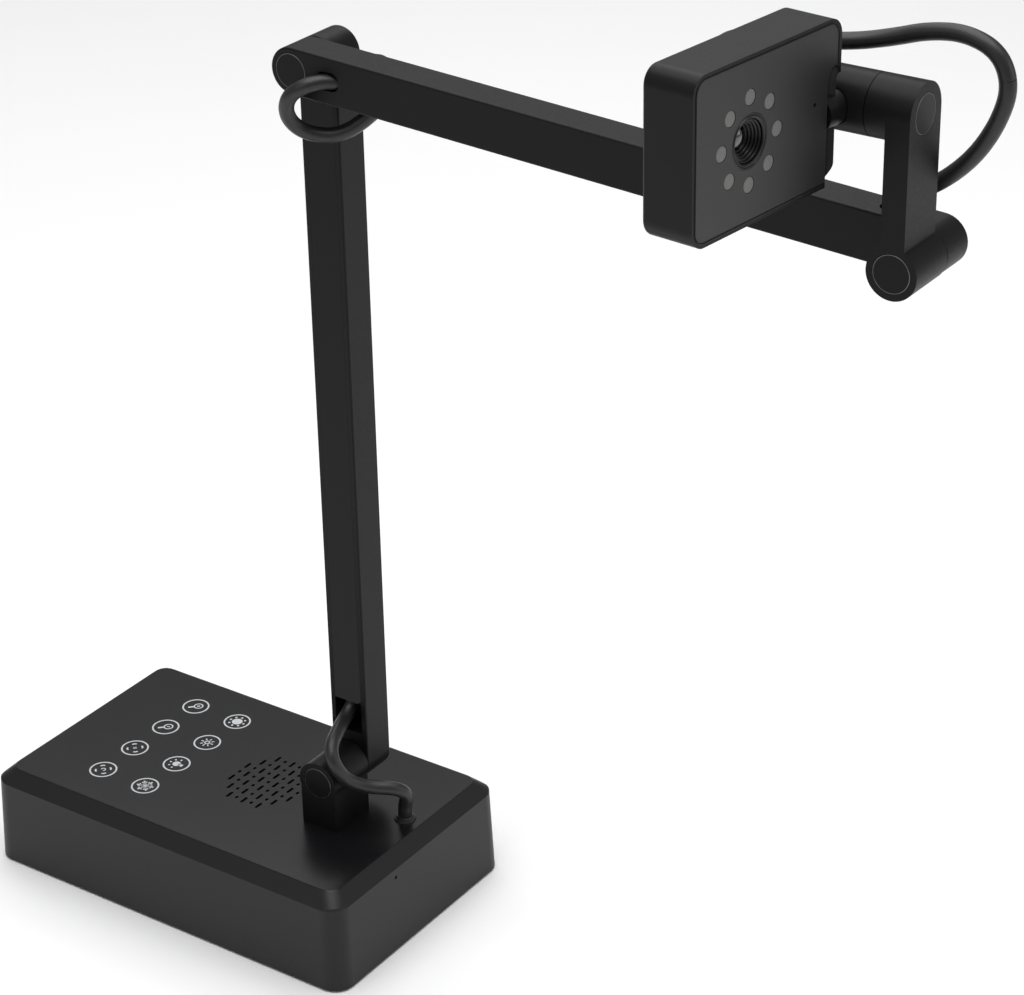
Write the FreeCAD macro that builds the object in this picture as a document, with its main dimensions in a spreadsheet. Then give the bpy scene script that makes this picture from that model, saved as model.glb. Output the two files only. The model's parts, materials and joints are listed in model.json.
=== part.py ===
import FreeCAD, Part
import math
import os
import re
from Sketcher import Constraint

# Desk document camera: a weighted base with touch keys, a post, an arm, a short link and a camera
# head, joined by friction hinges.  Millimetres, +Z up, origin at the centre of the mat under the base.
# +X runs along the base towards the side that the arm reaches over, -Y is the side of the arm.

# ---------------------------------------------------------------- driving dimensions (name: value)
SIZES = {
    # base
    "base_length": 200.0, "base_width": 122.0, "base_top": 47.0, "base_draft": 1.78,
    "base_corner": 9.0, "base_chamfer": 6.0, "base_wall": 3.0, "skirt_gap": 1.0,
    "plate_thickness": 3.0, "mat_inset": 4.0,
    "corner_screw_inset": 11.0, "boss_radius": 4.5,
    "ballast_length": 150.0, "ballast_width": 94.0, "ballast_thickness": 6.5,
    "board_length": 120.0, "board_width": 84.0, "board_thickness": 1.6, "board_height": 15.0,
    "touch_length": 50.0, "touch_width": 88.0, "touch_centre": -42.5,
    "speaker_centre": 14.8, "speaker_radius": 21.0, "speaker_depth": 14.0,
    "slot_pitch_across": 4.16, "slot_pitch_along": 5.8, "slot_long": 4.6, "slot_short": 2.0,
    "slot_width": 1.4, "grille_radius": 19.8,
    "socket_width": 9.0, "socket_height": 3.3, "socket_depth": 9.0, "socket_place": -40.0,
    "socket_wall": 0.35,
    "mic_radius": 3.0, "mic_hole_radius": 0.8, "mic_side": -17.5, "mic_height": 36.9,
    # arm chain
    "foot_x": 56.6, "foot_height": 69.5, "post_length": 324.0, "arm_length": 276.4, "arm_droop": 3.05,
    "layer_gap": 0.3, "post_near": 8.0, "beam_thickness": 16.2, "beam_depth": 19.2, "beam_edge": 0.8,
    "bracket_length": 23.7, "bracket_width": 18.4, "barrel_radius": 9.8,
    "link_width": 22.4, "link_thickness": 9.2, "link_height": 55.0,
    "channel_width": 14.2, "channel_depth": 13.2, "strip_thickness": 1.8, "strip_end": 30.0,
    "swivel_seam": 17.4, "swivel_length": 21.0,
    # hinge hardware
    "pin_radius": 4.0, "running_clearance": 0.05, "pin_head_radius": 6.6, "pin_head": 2.4,
    "counterbore_radius": 7.3, "cap_thickness": 1.4, "spring_thickness": 0.8, "nut_across": 10.0,
    "nut_height": 4.0, "near_counterbore": 4.4, "far_counterbore": 8.2, "friction_washer_radius": 6.4,
    "washer_thickness": 1.3, "swivel_grip": 7.0,
    # camera head
    "head_width": 80.6, "head_height": 58.6, "head_depth": 20.5, "head_corner": 6.5, "head_wall": 2.0,
    "head_yaw": -6.0, "head_setback": 29.2, "head_gap": 2.5, "head_rise": 4.7,
    "panel_inset": 1.6, "panel_thickness": 1.6, "scoop_radius": 4.0, "scoop_inset": 3.3,
    "scoop_top": 5.4, "scoop_round": 7.5,
    "hinge_block": 9.0, "head_lap": 7.5, "mic_across": 25.8, "mic_up": 2.0,
    "lens_across": -10.1, "lens_recess_radius": 9.5, "led_ring_radius": 15.0, "led_radius": 2.8,
    "tilt_back": 5.2, "tilt_pin_radius": 2.0, "tilt_boss_radius": 6.2,
    # cable
    "cable_radius": 3.1, "gland_x": 84.0, "gland_y": 10.0, "gland_height": 2.2,
}

NAMED = {name: f"Sizes.{name}" for name in SIZES}
LED_COUNT = 8
PLANES = {"top": "XY_Plane", "front": "XZ_Plane", "side": "YZ_Plane"}

doc = FreeCAD.newDocument("DocumentCamera")
sheet = doc.addObject("Spreadsheet::Sheet", "Sizes")
for row, (name, number) in enumerate(SIZES.items(), start=1):
    sheet.set(f"A{row}", name)
    sheet.set(f"B{row}", str(number))
    sheet.setAlias(f"B{row}", name)
doc.recompute()


def size(name):
    """The number that the sheet holds for a named dimension."""
    return float(sheet.get(name))


def bind(thing, **formulas):
    """Ties properties to the sheet: bind(box, Length="base_length - 2 * base_wall")."""
    for prop, formula in formulas.items():
        linked = re.sub(r"[a-z_]+", lambda word: NAMED.get(word[0], word[0]), formula)
        thing.setExpression(prop.replace("__", "."), linked)


def place(thing, x="0", y="0", z="0"):
    """Ties an object's position to the sheet."""
    bind(thing, Placement__Base__x=x, Placement__Base__y=y, Placement__Base__z=z)


def turn(thing, axis, degrees):
    """Turns an object about an axis through its own origin."""
    thing.Placement = FreeCAD.Placement(thing.Placement.Base, FreeCAD.Rotation(axis, degrees))


X_AXIS, Y_AXIS, Z_AXIS = (FreeCAD.Vector(*v) for v in ((1, 0, 0), (0, 1, 0), (0, 0, 1)))


# ---------------------------------------------------------------- small building blocks
def box(label, length, width, height, x="0", y="0", z="0"):
    """A box centred on x and y that stands on z."""
    solid = doc.addObject("Part::Box", label)
    solid.Label = label
    bind(solid, Length=length, Width=width, Height=height)
    place(solid, f"{x} - ( {length} ) / 2", f"{y} - ( {width} ) / 2", z)
    return solid


def rod(label, radius, length, x="0", y="0", z="0", along=Z_AXIS):
    """A cylinder that starts at x, y, z and runs along an axis."""
    solid = doc.addObject("Part::Cylinder", label)
    solid.Label = label
    bind(solid, Radius=radius, Height=length)
    solid.Placement = FreeCAD.Placement(FreeCAD.Vector(), FreeCAD.Rotation(Z_AXIS, along))
    place(solid, x, y, z)
    return solid


def cone(label, low_radius, high_radius, length, x="0", y="0", z="0"):
    """A frustum that stands on z."""
    solid = doc.addObject("Part::Cone", label)
    solid.Label = label
    bind(solid, Radius1=low_radius, Radius2=high_radius, Height=length)
    place(solid, x, y, z)
    return solid


def join(label, pieces):
    """One solid out of several that touch."""
    solid = doc.addObject("Part::MultiFuse", label)
    solid.Label = label
    solid.Shapes = pieces
    return solid


def group(label, pieces):
    """Several separate like solids in one object."""
    solid = doc.addObject("Part::Compound", label)
    solid.Label = label
    solid.Links = pieces
    return solid


def cut(label, base, tools):
    """A solid with several tools taken out of it."""
    solid = doc.addObject("Part::Cut", label)
    solid.Label = label
    solid.Base = base
    solid.Tool = tools[0] if len(tools) == 1 else group(label + "_tools", tools)
    return solid


def body(label):
    made = doc.addObject("PartDesign::Body", label)
    made.Label = label
    return made


def sketch_on(owner, plane, name, offset="0", across="0", along="0"):
    """An empty sketch on one of its body's planes, moved within the plane and along its normal."""
    made = owner.newObject("Sketcher::SketchObject", name)
    flat = [f for f in owner.Origin.OriginFeatures if f.Role == PLANES[plane]][0]
    made.AttachmentSupport = [(flat, "")]
    made.MapMode = "FlatFace"
    bind(made, AttachmentOffset__Base__x=across, AttachmentOffset__Base__y=along,
         AttachmentOffset__Base__z=offset)
    return made


def add_rectangle(sketch, width, height):
    """A rectangle centred on the sketch's origin."""
    half = 5.0
    corners = [FreeCAD.Vector(x * half, y * half, 0) for x, y in ((-1, -1), (1, -1), (1, 1), (-1, 1))]
    for i in range(4):
        sketch.addGeometry(Part.LineSegment(corners[i], corners[(i + 1) % 4]), False)
    for i in range(4):
        sketch.addConstraint(Constraint("Coincident", i, 2, (i + 1) % 4, 1))
    sketch.addConstraint([Constraint("Horizontal", 0), Constraint("Horizontal", 2),
                          Constraint("Vertical", 1), Constraint("Vertical", 3),
                          Constraint("Symmetric", 0, 1, 1, 2, -1, 1)])
    for word, index, formula in (("width", 0, width), ("height", 1, height)):
        number = sketch.addConstraint(Constraint("Distance", index, 2 * half))
        sketch.renameConstraint(number, word)
        bind(sketch, **{f"Constraints__{word}": formula})


def add_circle(sketch, radius):
    """A circle centred on the sketch's origin."""
    number = sketch.addGeometry(Part.Circle(FreeCAD.Vector(), Z_AXIS, 3.0), False)
    sketch.addConstraint(Constraint("Coincident", number, 3, -1, 1))
    made = sketch.addConstraint(Constraint("Radius", number, 3.0))
    sketch.renameConstraint(made, "radius")
    bind(sketch, Constraints__radius=radius)


def pad(owner, sketch, name, length, reverse=False, taper=None):
    made = owner.newObject("PartDesign::Pad", name)
    made.Profile = sketch
    bind(made, Length=length)
    made.Reversed = reverse
    if taper:
        bind(made, TaperAngle=taper)
    doc.recompute()
    return made


def pocket(owner, sketch, name, length, reverse=False):
    """A pocket that is checked to take material away."""
    before = owner.Shape.Volume
    made = owner.newObject("PartDesign::Pocket", name)
    made.Profile = sketch
    bind(made, Length=length)
    made.Reversed = reverse
    doc.recompute()
    if owner.Shape.Volume > before - 0.01:
        raise RuntimeError(f"{owner.Label}: {name} cuts nothing")
    return made


def edge_names(shape, wanted):
    """The names of the edges whose straight direction and middle point pass a test."""
    names = []
    for number, edge in enumerate(shape.Edges, start=1):
        middle = edge.valueAt((edge.FirstParameter + edge.LastParameter) / 2)
        step = edge.Vertexes[-1].Point - edge.Vertexes[0].Point
        if wanted(edge, step, middle):
            names.append(f"Edge{number}")
    return names


def dress(owner, kind, name, wanted, amount):
    """A Fillet or Chamfer on the edges that pass a test."""
    base = owner.Tip
    made = owner.newObject(f"PartDesign::{kind}", name)
    made.Base = (base, edge_names(base.Shape, wanted))
    bind(made, **{"Radius" if kind == "Fillet" else "Size": amount})
    doc.recompute()
    return made


def upright(edge, step, middle):
    """A straight edge that runs mostly along Z."""
    return step.Length > 0.1 and abs(step.z) > 0.9 * step.Length


def rising(edge, step, middle):
    """An upright corner, or the mitre that carries it across a chamfer."""
    return step.Length > 0.1 and abs(step.z) > 0.5 * step.Length


def drafted_block(label, length, width, height, corner, chamfer, bottom):
    """A block with rounded upright corners, walls that lean in and a chamfered top."""
    made = body(label)
    outline = sketch_on(made, "top", label + "_outline", offset=bottom)
    add_rectangle(outline, length, width)
    pad(made, outline, label + "_pad", height, taper="0 - base_draft")
    top = made.Shape.BoundBox.ZMax
    dress(made, "Chamfer", label + "_chamfer", lambda e, s, m: abs(m.z - top) < 0.01, chamfer)
    dress(made, "Fillet", label + "_corners", rising, corner)
    return made


# ---------------------------------------------------------------- base
PARTS = []


def keep(*pieces):
    """Marks finished sub-parts, which are written out under their labels."""
    PARTS.extend(pieces)
    return pieces[0]


def corner_places():
    """The four base screws, as formulas for x and y."""
    x = "( base_length / 2 - corner_screw_inset )"
    y = "( base_width / 2 - corner_screw_inset )"
    return [(f"{i} * {x}", f"{j} * {y}") for i in (-1, 1) for j in (-1, 1)]


def grille_cutter():
    """Long and short slots in turn on a grid, kept inside a circle.  Every other place is a long one."""
    across, along = size("slot_pitch_across"), size("slot_pitch_along")
    radius, half = size("grille_radius"), size("slot_width") / 2
    depth = 3 * size("base_wall")
    slots = []
    for i in range(-int(radius / across), int(radius / across) + 1):
        for j in range(-int(radius / along), int(radius / along) + 1):
            if math.hypot(i * across, j * along) > radius:
                continue
            long = (i + j) % 2 == 1
            reach = (size("slot_long") if long else size("slot_short")) / 2 - half
            x, y = size("speaker_centre") + i * across, j * along
            slot = Part.makeBox(2 * half, 2 * reach, depth, FreeCAD.Vector(x - half, y - reach, 0))
            ends = [Part.makeCylinder(half, depth, FreeCAD.Vector(x, y + s * reach, 0)) for s in (-1, 1)]
            slots.append(slot.fuse(ends).removeSplitter())
    cutter = doc.addObject("Part::Feature", "grille_cutter")
    cutter.Shape = Part.makeCompound(slots)
    cutter.Placement.Base.z = size("base_top") - 1.5 * size("base_wall")
    return cutter


def base_housing():
    height = "base_top - skirt_gap"
    outer = drafted_block("base_outer", "base_length", "base_width", height,
                          "base_corner", "base_chamfer", "skirt_gap")
    inner = drafted_block("base_inner", "base_length - 2 * base_wall", "base_width - 2 * base_wall",
                          f"{height} - base_wall", "base_corner - base_wall",
                          "base_chamfer - base_wall / 3", "skirt_gap")
    hollow = cut("base_hollow", outer, [inner])
    bosses = [rod(f"boss_{i}", "boss_radius", "base_top - base_wall - skirt_gap - plate_thickness",
                  x, y, "skirt_gap + plate_thickness + 0.2") for i, (x, y) in enumerate(corner_places())]
    solid = join("base_solid", [hollow] + bosses)
    tools = [grille_cutter()]
    tools += [rod(f"boss_hole_{i}", "1.3", "14", x, y, "skirt_gap")
              for i, (x, y) in enumerate(corner_places())]
    tools.append(rod("gland_hole", "cable_radius + 1.4", "3 * base_wall", "gland_x", "gland_y",
                     "base_top - 2 * base_wall"))
    tools += [rod(f"bracket_hole_{i}", "1.7", "3 * base_wall", "foot_x", y, "base_top - 2 * base_wall")
              for i, y in enumerate(bracket_screw_places())]
    tools.append(box("socket_window", "socket_width + 0.8", "4 * base_wall", "socket_height + 0.8",
                     "socket_place", "base_width / 2", "board_height + board_thickness - 0.4"))
    tools.append(rod("mic_hole", "mic_hole_radius", "4 * base_wall", "base_length / 2 - 3 * base_wall",
                     "mic_side", "mic_height", X_AXIS))
    keep(cut("base_shell", solid, tools))


def bracket_screw_places():
    """Where along Y the two bracket screws stand."""
    middle = "post_near - layer_gap - bracket_length / 2"
    return [f"{middle} - 6.5", f"{middle} + 6.5"]


def base_closure():
    """Bottom plate, anti-slip mat and the four screws that hold the plate."""
    gap = "base_wall + 0.4"
    plate = body("bottom_plate")
    outline = sketch_on(plate, "top", "plate_outline", offset="skirt_gap")
    add_rectangle(outline, f"base_length - 2 * ( {gap} )", f"base_width - 2 * ( {gap} )")
    pad(plate, outline, "plate_pad", "plate_thickness")
    dress(plate, "Fillet", "plate_corners", upright, "base_corner - base_wall")
    for i, (x, y) in enumerate(corner_places()):
        seat = sketch_on(plate, "top", f"screw_seat_{i}", "skirt_gap", x, y)
        add_circle(seat, "3.2")
        pocket(plate, seat, f"screw_seat_cut_{i}", "1.6", reverse=True)
        hole = sketch_on(plate, "top", f"screw_hole_{i}", "skirt_gap", x, y)
        add_circle(hole, "1.7")
        pocket(plate, hole, f"screw_hole_cut_{i}", "2 * plate_thickness", reverse=True)
    keep(plate)
    mat = body("anti_slip_mat")
    outline = sketch_on(mat, "top", "mat_outline")
    add_rectangle(outline, "base_length - 2 * base_wall - 2 * mat_inset",
                  "base_width - 2 * base_wall - 2 * mat_inset")
    pad(mat, outline, "mat_pad", "skirt_gap")
    dress(mat, "Fillet", "mat_corners", upright, "base_corner - base_wall / 2")
    holes = [rod(f"mat_hole_{i}", "4", "2 * skirt_gap", x, y, "0 - skirt_gap / 2")
             for i, (x, y) in enumerate(corner_places())]
    mat.Label = "mat_blank"
    keep(cut("anti_slip_mat", mat, holes))
    screws = []
    for i, (x, y) in enumerate(corner_places()):
        head = rod(f"screw_head_{i}", "3", "1.5", x, y, "skirt_gap")
        shank = rod(f"screw_shank_{i}", "1.25", "9", x, y, "skirt_gap + 1.5")
        screws.append(join(f"screw_{i}", [head, shank]))
    keep(group("bottom_screws", screws))


def base_electronics():
    floor = "skirt_gap + plate_thickness"
    ballast = keep(box("ballast_plate", "ballast_length", "ballast_width", "ballast_thickness", "-8", "0",
                       floor))
    board_y = "base_width / 2 - base_wall - 3 - board_width / 2"
    standoffs = [rod(f"standoff_{i}_{j}", "3", f"board_height - ( {floor} ) - ballast_thickness",
                     f"-12 + {i} * ( board_length / 2 - 6 )", f"{board_y} + {j} * ( board_width / 2 - 18 )",
                     f"{floor} + ballast_thickness") for i in (-1, 1) for j in (-1, 1)]
    keep(group("board_standoffs", standoffs))
    keep(box("main_board", "board_length", "board_width", "board_thickness", "-12", board_y, "board_height"))
    ceiling = "base_top - base_wall"
    keep(box("touch_board", "touch_length", "touch_width", "1.2", "touch_centre", "0", f"{ceiling} - 1.4"))
    shell = box("socket_shell", "socket_width", "socket_depth", "socket_height", "socket_place",
                "base_width / 2 - socket_depth / 2 - 0.9", "board_height + board_thickness")
    mouth = box("socket_mouth", "socket_width - 2 * socket_wall", "socket_depth",
                "socket_height - 2 * socket_wall", "socket_place", "base_width / 2 - socket_depth / 2 + 1",
                "board_height + board_thickness + socket_wall")
    contacts = box("socket_contacts", "socket_width - 3", "5", "0.7", "socket_place", "base_width / 2 - 5.5",
                   "board_height + board_thickness + socket_height / 2 - 0.35")
    keep(group("usb_socket", [cut("socket_tube", shell, [mouth]), contacts]))
    keep(rod("base_microphone", "mic_radius", "3", "base_length / 2 - base_wall - 5.2", "mic_side",
             "mic_height", X_AXIS))
    return ballast


def speaker():
    x, ceiling = "speaker_centre", "base_top - base_wall"
    rim = rod("speaker_rim", "speaker_radius", "3", x, "0", f"{ceiling} - 3.2")
    basket = cone("speaker_basket", "speaker_radius / 2 + 1", "speaker_radius - 1", "speaker_depth - 8",
                  x, "0", f"{ceiling} + 4.8 - speaker_depth")
    bowl = cone("speaker_bowl", "speaker_radius / 2 - 1", "speaker_radius - 2.2", "speaker_depth - 4.9",
                x, "0", f"{ceiling} + 4.7 - speaker_depth")
    keep(cut("speaker_frame", join("speaker_blank", [rim, basket]), [bowl]))
    outer = cone("cone_outer", "speaker_radius / 2 - 2", "speaker_radius - 4.8", "speaker_depth - 7", x, "0",
                 f"{ceiling} + 5.2 - speaker_depth")
    inner = cone("cone_inner", "speaker_radius / 2 - 3", "speaker_radius - 5.3", "speaker_depth - 6.8",
                 x, "0", f"{ceiling} + 5.6 - speaker_depth")
    keep(cut("speaker_cone", outer, [inner]))
    keep(rod("speaker_magnet", "speaker_radius / 2", "6", x, "0", f"{ceiling} - 1.4 - speaker_depth"))


def gland():
    """A strain relief with a collar under the housing's top and a low ring above it."""
    at = ("gland_x", "gland_y")
    pieces = [rod("gland_collar", "cable_radius + 3.2", "1.6", *at, "base_top - base_wall - 1.8"),
              rod("gland_stem", "cable_radius + 1.2", "base_wall + 2", *at, "base_top - base_wall - 1"),
              cone("gland_sleeve", "cable_radius + 1.2", "cable_radius + 0.7", "gland_height", *at,
                   "base_top"),
              cone("gland_ring", "cable_radius + 1.8", "cable_radius + 1.5", "0.9", *at, "base_top + 0.1")]
    bore = rod("gland_bore", "cable_radius", "gland_height + 4 * base_wall", *at, "base_top - 3 * base_wall")
    keep(cut("cable_gland", join("gland_blank", pieces), [bore]))


def foot_bracket():
    """The near half of the foot hinge: an upright with a barrel across its top."""
    near = "post_near - layer_gap - bracket_length"
    made = body("bracket_blank")
    side = sketch_on(made, "front", "bracket_side", f"0 - ( {near} )", "foot_x",
                     "( base_top + foot_height ) / 2")
    add_rectangle(side, "bracket_width", "foot_height - base_top")
    pad(made, side, "bracket_pad", "bracket_length", reverse=True)
    top = sketch_on(made, "front", "bracket_barrel", f"0 - ( {near} )", "foot_x", "foot_height")
    add_circle(top, "barrel_radius")
    pad(made, top, "bracket_barrel_pad", "bracket_length", reverse=True)
    holes = [rod(f"bracket_thread_{i}", "1.25", "9", "foot_x", y, "base_top - 0.5")
             for i, y in enumerate(bracket_screw_places())]
    screws = [join(f"bracket_screw_{i}", [
        rod(f"bracket_screw_head_{i}", "3", "2", "foot_x", y, "base_top - base_wall - 2"),
        rod(f"bracket_screw_shank_{i}", "1.25", "base_wall + 7", "foot_x", y, "base_top - base_wall - 1")])
        for i, y in enumerate(bracket_screw_places())]
    keep(group("bracket_screws", screws))
    keep(cut("foot_bracket", made, holes + HINGES["foot"].near_cutters()))


# ---------------------------------------------------------------- friction hinges
class Hinge:
    """A friction hinge along +Y or +X.  Every length along it is counted from its near outer face."""

    def __init__(self, name, forward, origin, near_length, far_length, blind=False):
        self.name, self.forward, self.origin = name, forward, origin
        self.near, self.far, self.blind = near_length, far_length, blind
        self.total = f"( {near_length} + layer_gap + {far_length} )"

    def rod(self, label, radius, start, length):
        """A cylinder on the hinge's axis."""
        x, y, z = self.origin
        if self.forward == Y_AXIS:
            y = f"{y} + {start}"
        else:
            x = f"{x} + {start}"
        return rod(f"{self.name}_{label}", radius, length, x, y, z, self.forward)

    def ring(self, label, outer, inner, start, length):
        """A flat ring on the hinge's axis."""
        blank = self.rod(label + "_disc", outer, start, length)
        hole = self.rod(label + "_hole", inner, f"{start} - 0.5", f"{length} + 1")
        return cut(f"{self.name}_{label}", blank, [hole])

    def near_cutters(self):
        """What the hinge takes out of its near half: pin bore, washer seat and head counterbore."""
        start = "0" if self.blind else "( 0 - 0.5 )"
        tools = [self.rod("near_bore", "pin_radius + 0.02", start, f"{self.near} + 1"),
                 self.rod("near_seat", "friction_washer_radius + 0.15",
                          f"{self.near} + layer_gap / 2 - washer_thickness / 2 - 0.05", "3")]
        if not self.blind:
            tools.append(self.rod("near_counterbore", "counterbore_radius", "( 0 - 1 )",
                                  "near_counterbore + 1"))
        return tools

    def far_cutters(self):
        """What the hinge takes out of its far half: running bore, washer seat and nut counterbore."""
        seam = f"{self.near} + layer_gap / 2"
        return [self.rod("far_bore", "pin_radius + running_clearance", self.near, f"{self.far} + 2"),
                self.rod("far_seat", "friction_washer_radius + 0.15",
                         f"{seam} + washer_thickness / 2 + 0.05 - 3", "3"),
                self.rod("far_counterbore", "counterbore_radius", f"{self.total} - far_counterbore",
                         "far_counterbore + 1")]

    def hardware(self):
        """Pin, friction washer, disc springs, nut and end caps."""
        reach = f"{self.total} - cap_thickness - 0.4"
        if self.blind:
            keep(self.rod("pin", "pin_radius", "0.2", f"{reach} - 0.2"))
        else:
            head = self.rod("pin_head", "pin_head_radius", "near_counterbore - pin_head", "pin_head")
            shank = self.rod("pin_shank", "pin_radius", "near_counterbore", f"{reach} - near_counterbore")
            keep(join(f"{self.name}_pin", [head, shank]))
            self.cap("near_cap", "0", True)
        keep(self.ring("friction_washer", "friction_washer_radius", "pin_radius + 0.1",
                       f"{self.near} + layer_gap / 2 - washer_thickness / 2", "washer_thickness"))
        start = f"{self.total} - far_counterbore"
        keep(group(f"{self.name}_disc_springs", [
            self.ring(f"spring_{i}", "counterbore_radius - 0.5", "pin_radius + 0.1",
                      f"{start} + {i} * spring_thickness", "spring_thickness - 0.05") for i in range(2)]))
        nut = doc.addObject("Part::Prism", f"{self.name}_nut_blank")
        nut.Polygon = 6
        bind(nut, Circumradius="nut_across / 2 / cos(30)", Height="nut_height")
        blank = self.rod("nut_guide", "1", f"{start} + 2 * spring_thickness", "1")
        nut.Placement = FreeCAD.Placement(FreeCAD.Vector(), FreeCAD.Rotation(Z_AXIS, self.forward))
        for side in "xyz":
            nut.setExpression(f"Placement.Base.{side}", f"{blank.Name}.Placement.Base.{side}")
        hole = self.rod("nut_hole", "pin_radius", f"{start} + spring_thickness", "nut_height + 2")
        keep(cut(f"{self.name}_nut", nut, [hole]))
        self.cap("far_cap", f"{self.total} - cap_thickness", False)

    def cap(self, label, start, near):
        """An end cap that fills a counterbore's mouth, with a fine chamfer round its outer edge."""
        plug = self.rod(label + "_plug", "counterbore_radius - 0.05", start, "cap_thickness")
        doc.recompute()
        along = self.forward
        ends = sorted(((e.CenterOfMass.dot(along), n) for n, e in enumerate(plug.Shape.Edges, start=1)
                       if e.Closed))
        made = doc.addObject("Part::Chamfer", f"{self.name}_{label}")
        made.Label = f"{self.name}_{label}"
        made.Base = plug
        number = ends[0][1] if near else ends[-1][1]
        made.Edges = [(number, 0.35, 0.35)]
        keep(made)


# ---------------------------------------------------------------- arm chain
def lengthwise(edge, step, middle):
    """A straight edge that runs mostly along the beam."""
    return step.Length > 20 and abs(step.x) > 0.99 * step.Length


def beam(label, length):
    """A straight bar with round ends along its own +X, from y = 0 to beam_thickness."""
    made = body(label)
    bar = sketch_on(made, "front", label + "_bar", across=f"( {length} ) / 2")
    add_rectangle(bar, length, "beam_depth")
    pad(made, bar, label + "_bar_pad", "beam_thickness", reverse=True)
    for i, x in enumerate(("0", length)):
        end = sketch_on(made, "front", f"{label}_end_{i}", across=x)
        add_circle(end, "beam_depth / 2")
        pad(made, end, f"{label}_end_pad_{i}", "beam_thickness", reverse=True)
    dress(made, "Fillet", label + "_edges", lengthwise, "beam_edge")
    return made


def set_frame(pieces, x, y, z, degrees):
    """Puts pieces drawn along their own X into place, turned about Y."""
    for piece in pieces:
        turn(piece, Y_AXIS, degrees)
        place(piece, x, y, z)


ELBOW_Z = "( foot_height + post_length )"
ARM_NEAR = "( post_near - layer_gap - beam_thickness )"
LINK_NEAR = "( post_near - 2 * layer_gap - beam_thickness - link_width )"
WRIST_X = "( foot_x + arm_length * cos(arm_droop) )"
WRIST_Z = "( foot_height + post_length - arm_length * sin(arm_droop) )"
SWIVEL_Z = "( foot_height + post_length - arm_length * sin(arm_droop) + link_height )"
SWIVEL_Y = "( post_near - 2 * layer_gap - beam_thickness - link_width / 2 )"
LINK_FRONT = "( foot_x + arm_length * cos(arm_droop) + link_thickness / 2 )"
HINGES = {
    "foot": Hinge("foot", Y_AXIS, ("foot_x", "( post_near - layer_gap - bracket_length )", "foot_height"),
                  "bracket_length", "beam_thickness"),
    "elbow": Hinge("elbow", Y_AXIS, ("foot_x", ARM_NEAR, ELBOW_Z), "beam_thickness", "beam_thickness"),
    "wrist": Hinge("wrist", Y_AXIS, (WRIST_X, LINK_NEAR, WRIST_Z), "link_width", "beam_thickness"),
    "swivel": Hinge("swivel", X_AXIS, (f"( {LINK_FRONT} - swivel_seam - layer_gap - swivel_grip )", SWIVEL_Y,
                                       SWIVEL_Z), "swivel_grip", "swivel_seam", blind=True),
}


def post():
    """The upright: a channel open towards -Y, closed by a glossy strip that stops short of its foot."""
    near_end = "barrel_radius + 5.2"
    far_end = "post_length - barrel_radius - 5.2"
    made = beam("post_blank", "post_length")
    mouth = sketch_on(made, "front", "post_channel", across=f"( {near_end} + {far_end} ) / 2")
    add_rectangle(mouth, f"{far_end} - ( {near_end} )", "channel_width")
    pocket(made, mouth, "post_channel_cut", "channel_depth")
    strip = body("post_cover_strip")
    outline = sketch_on(strip, "front", "post_strip_outline", across=f"( strip_end + {far_end} ) / 2")
    add_rectangle(outline, f"{far_end} - strip_end - 0.2", "channel_width - 0.1")
    pad(strip, outline, "post_strip_pad", "strip_thickness", reverse=True)
    set_frame([made, strip], "foot_x", "post_near", "foot_height", -90)
    cable_hole = rod("post_cable_hole", "cable_radius + 1", "beam_depth / 2 + 1", "foot_x",
                     "post_near + beam_thickness / 2 + 0.4", f"{ELBOW_Z} - 17.5", X_AXIS)
    tools = HINGES["foot"].far_cutters() + HINGES["elbow"].far_cutters() + [cable_hole]
    keep(cut("post_tube", made, tools), strip)


def arm():
    """The arm: the post's section again, with its channel closed underneath."""
    near_end, far_end = "barrel_radius + 5.2", "arm_length - barrel_radius - 5.2"
    middle, length = f"( {near_end} + {far_end} ) / 2", f"{far_end} - ( {near_end} )"
    made = beam("arm_blank", "arm_length")
    mouth = sketch_on(made, "top", "arm_channel", "0 - beam_depth / 2", middle, "beam_thickness / 2")
    add_rectangle(mouth, length, "beam_thickness - 3.2")
    pocket(made, mouth, "arm_channel_cut", "beam_depth - 3", reverse=True)
    strip = body("arm_cover_strip")
    outline = sketch_on(strip, "top", "arm_strip_outline", "0 - beam_depth / 2", middle, "beam_thickness / 2")
    add_rectangle(outline, f"{length} - 0.2", "beam_thickness - 3.3")
    pad(strip, outline, "arm_strip_pad", "strip_thickness")
    set_frame([made, strip], "foot_x", ARM_NEAR, ELBOW_Z, size("arm_droop"))
    near_holes = [rod(f"arm_near_hole_{i}", "cable_radius + 0.7", "beam_thickness / 2",
                      f"foot_x + 16.2 + {1.8 * i}", f"{ARM_NEAR} - 1", f"{ELBOW_Z} - 1", Y_AXIS)
                  for i in range(3)]
    top_hole = rod("arm_top_hole", "cable_radius + 0.8", "beam_depth / 2 + 2", f"{WRIST_X} - 17",
                   f"{ARM_NEAR} + beam_thickness / 2", f"{WRIST_Z} + 1", Z_AXIS)
    tools = HINGES["elbow"].near_cutters() + HINGES["wrist"].far_cutters() + [top_hole] + near_holes
    keep(cut("arm_tube", made, tools), strip)


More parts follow.
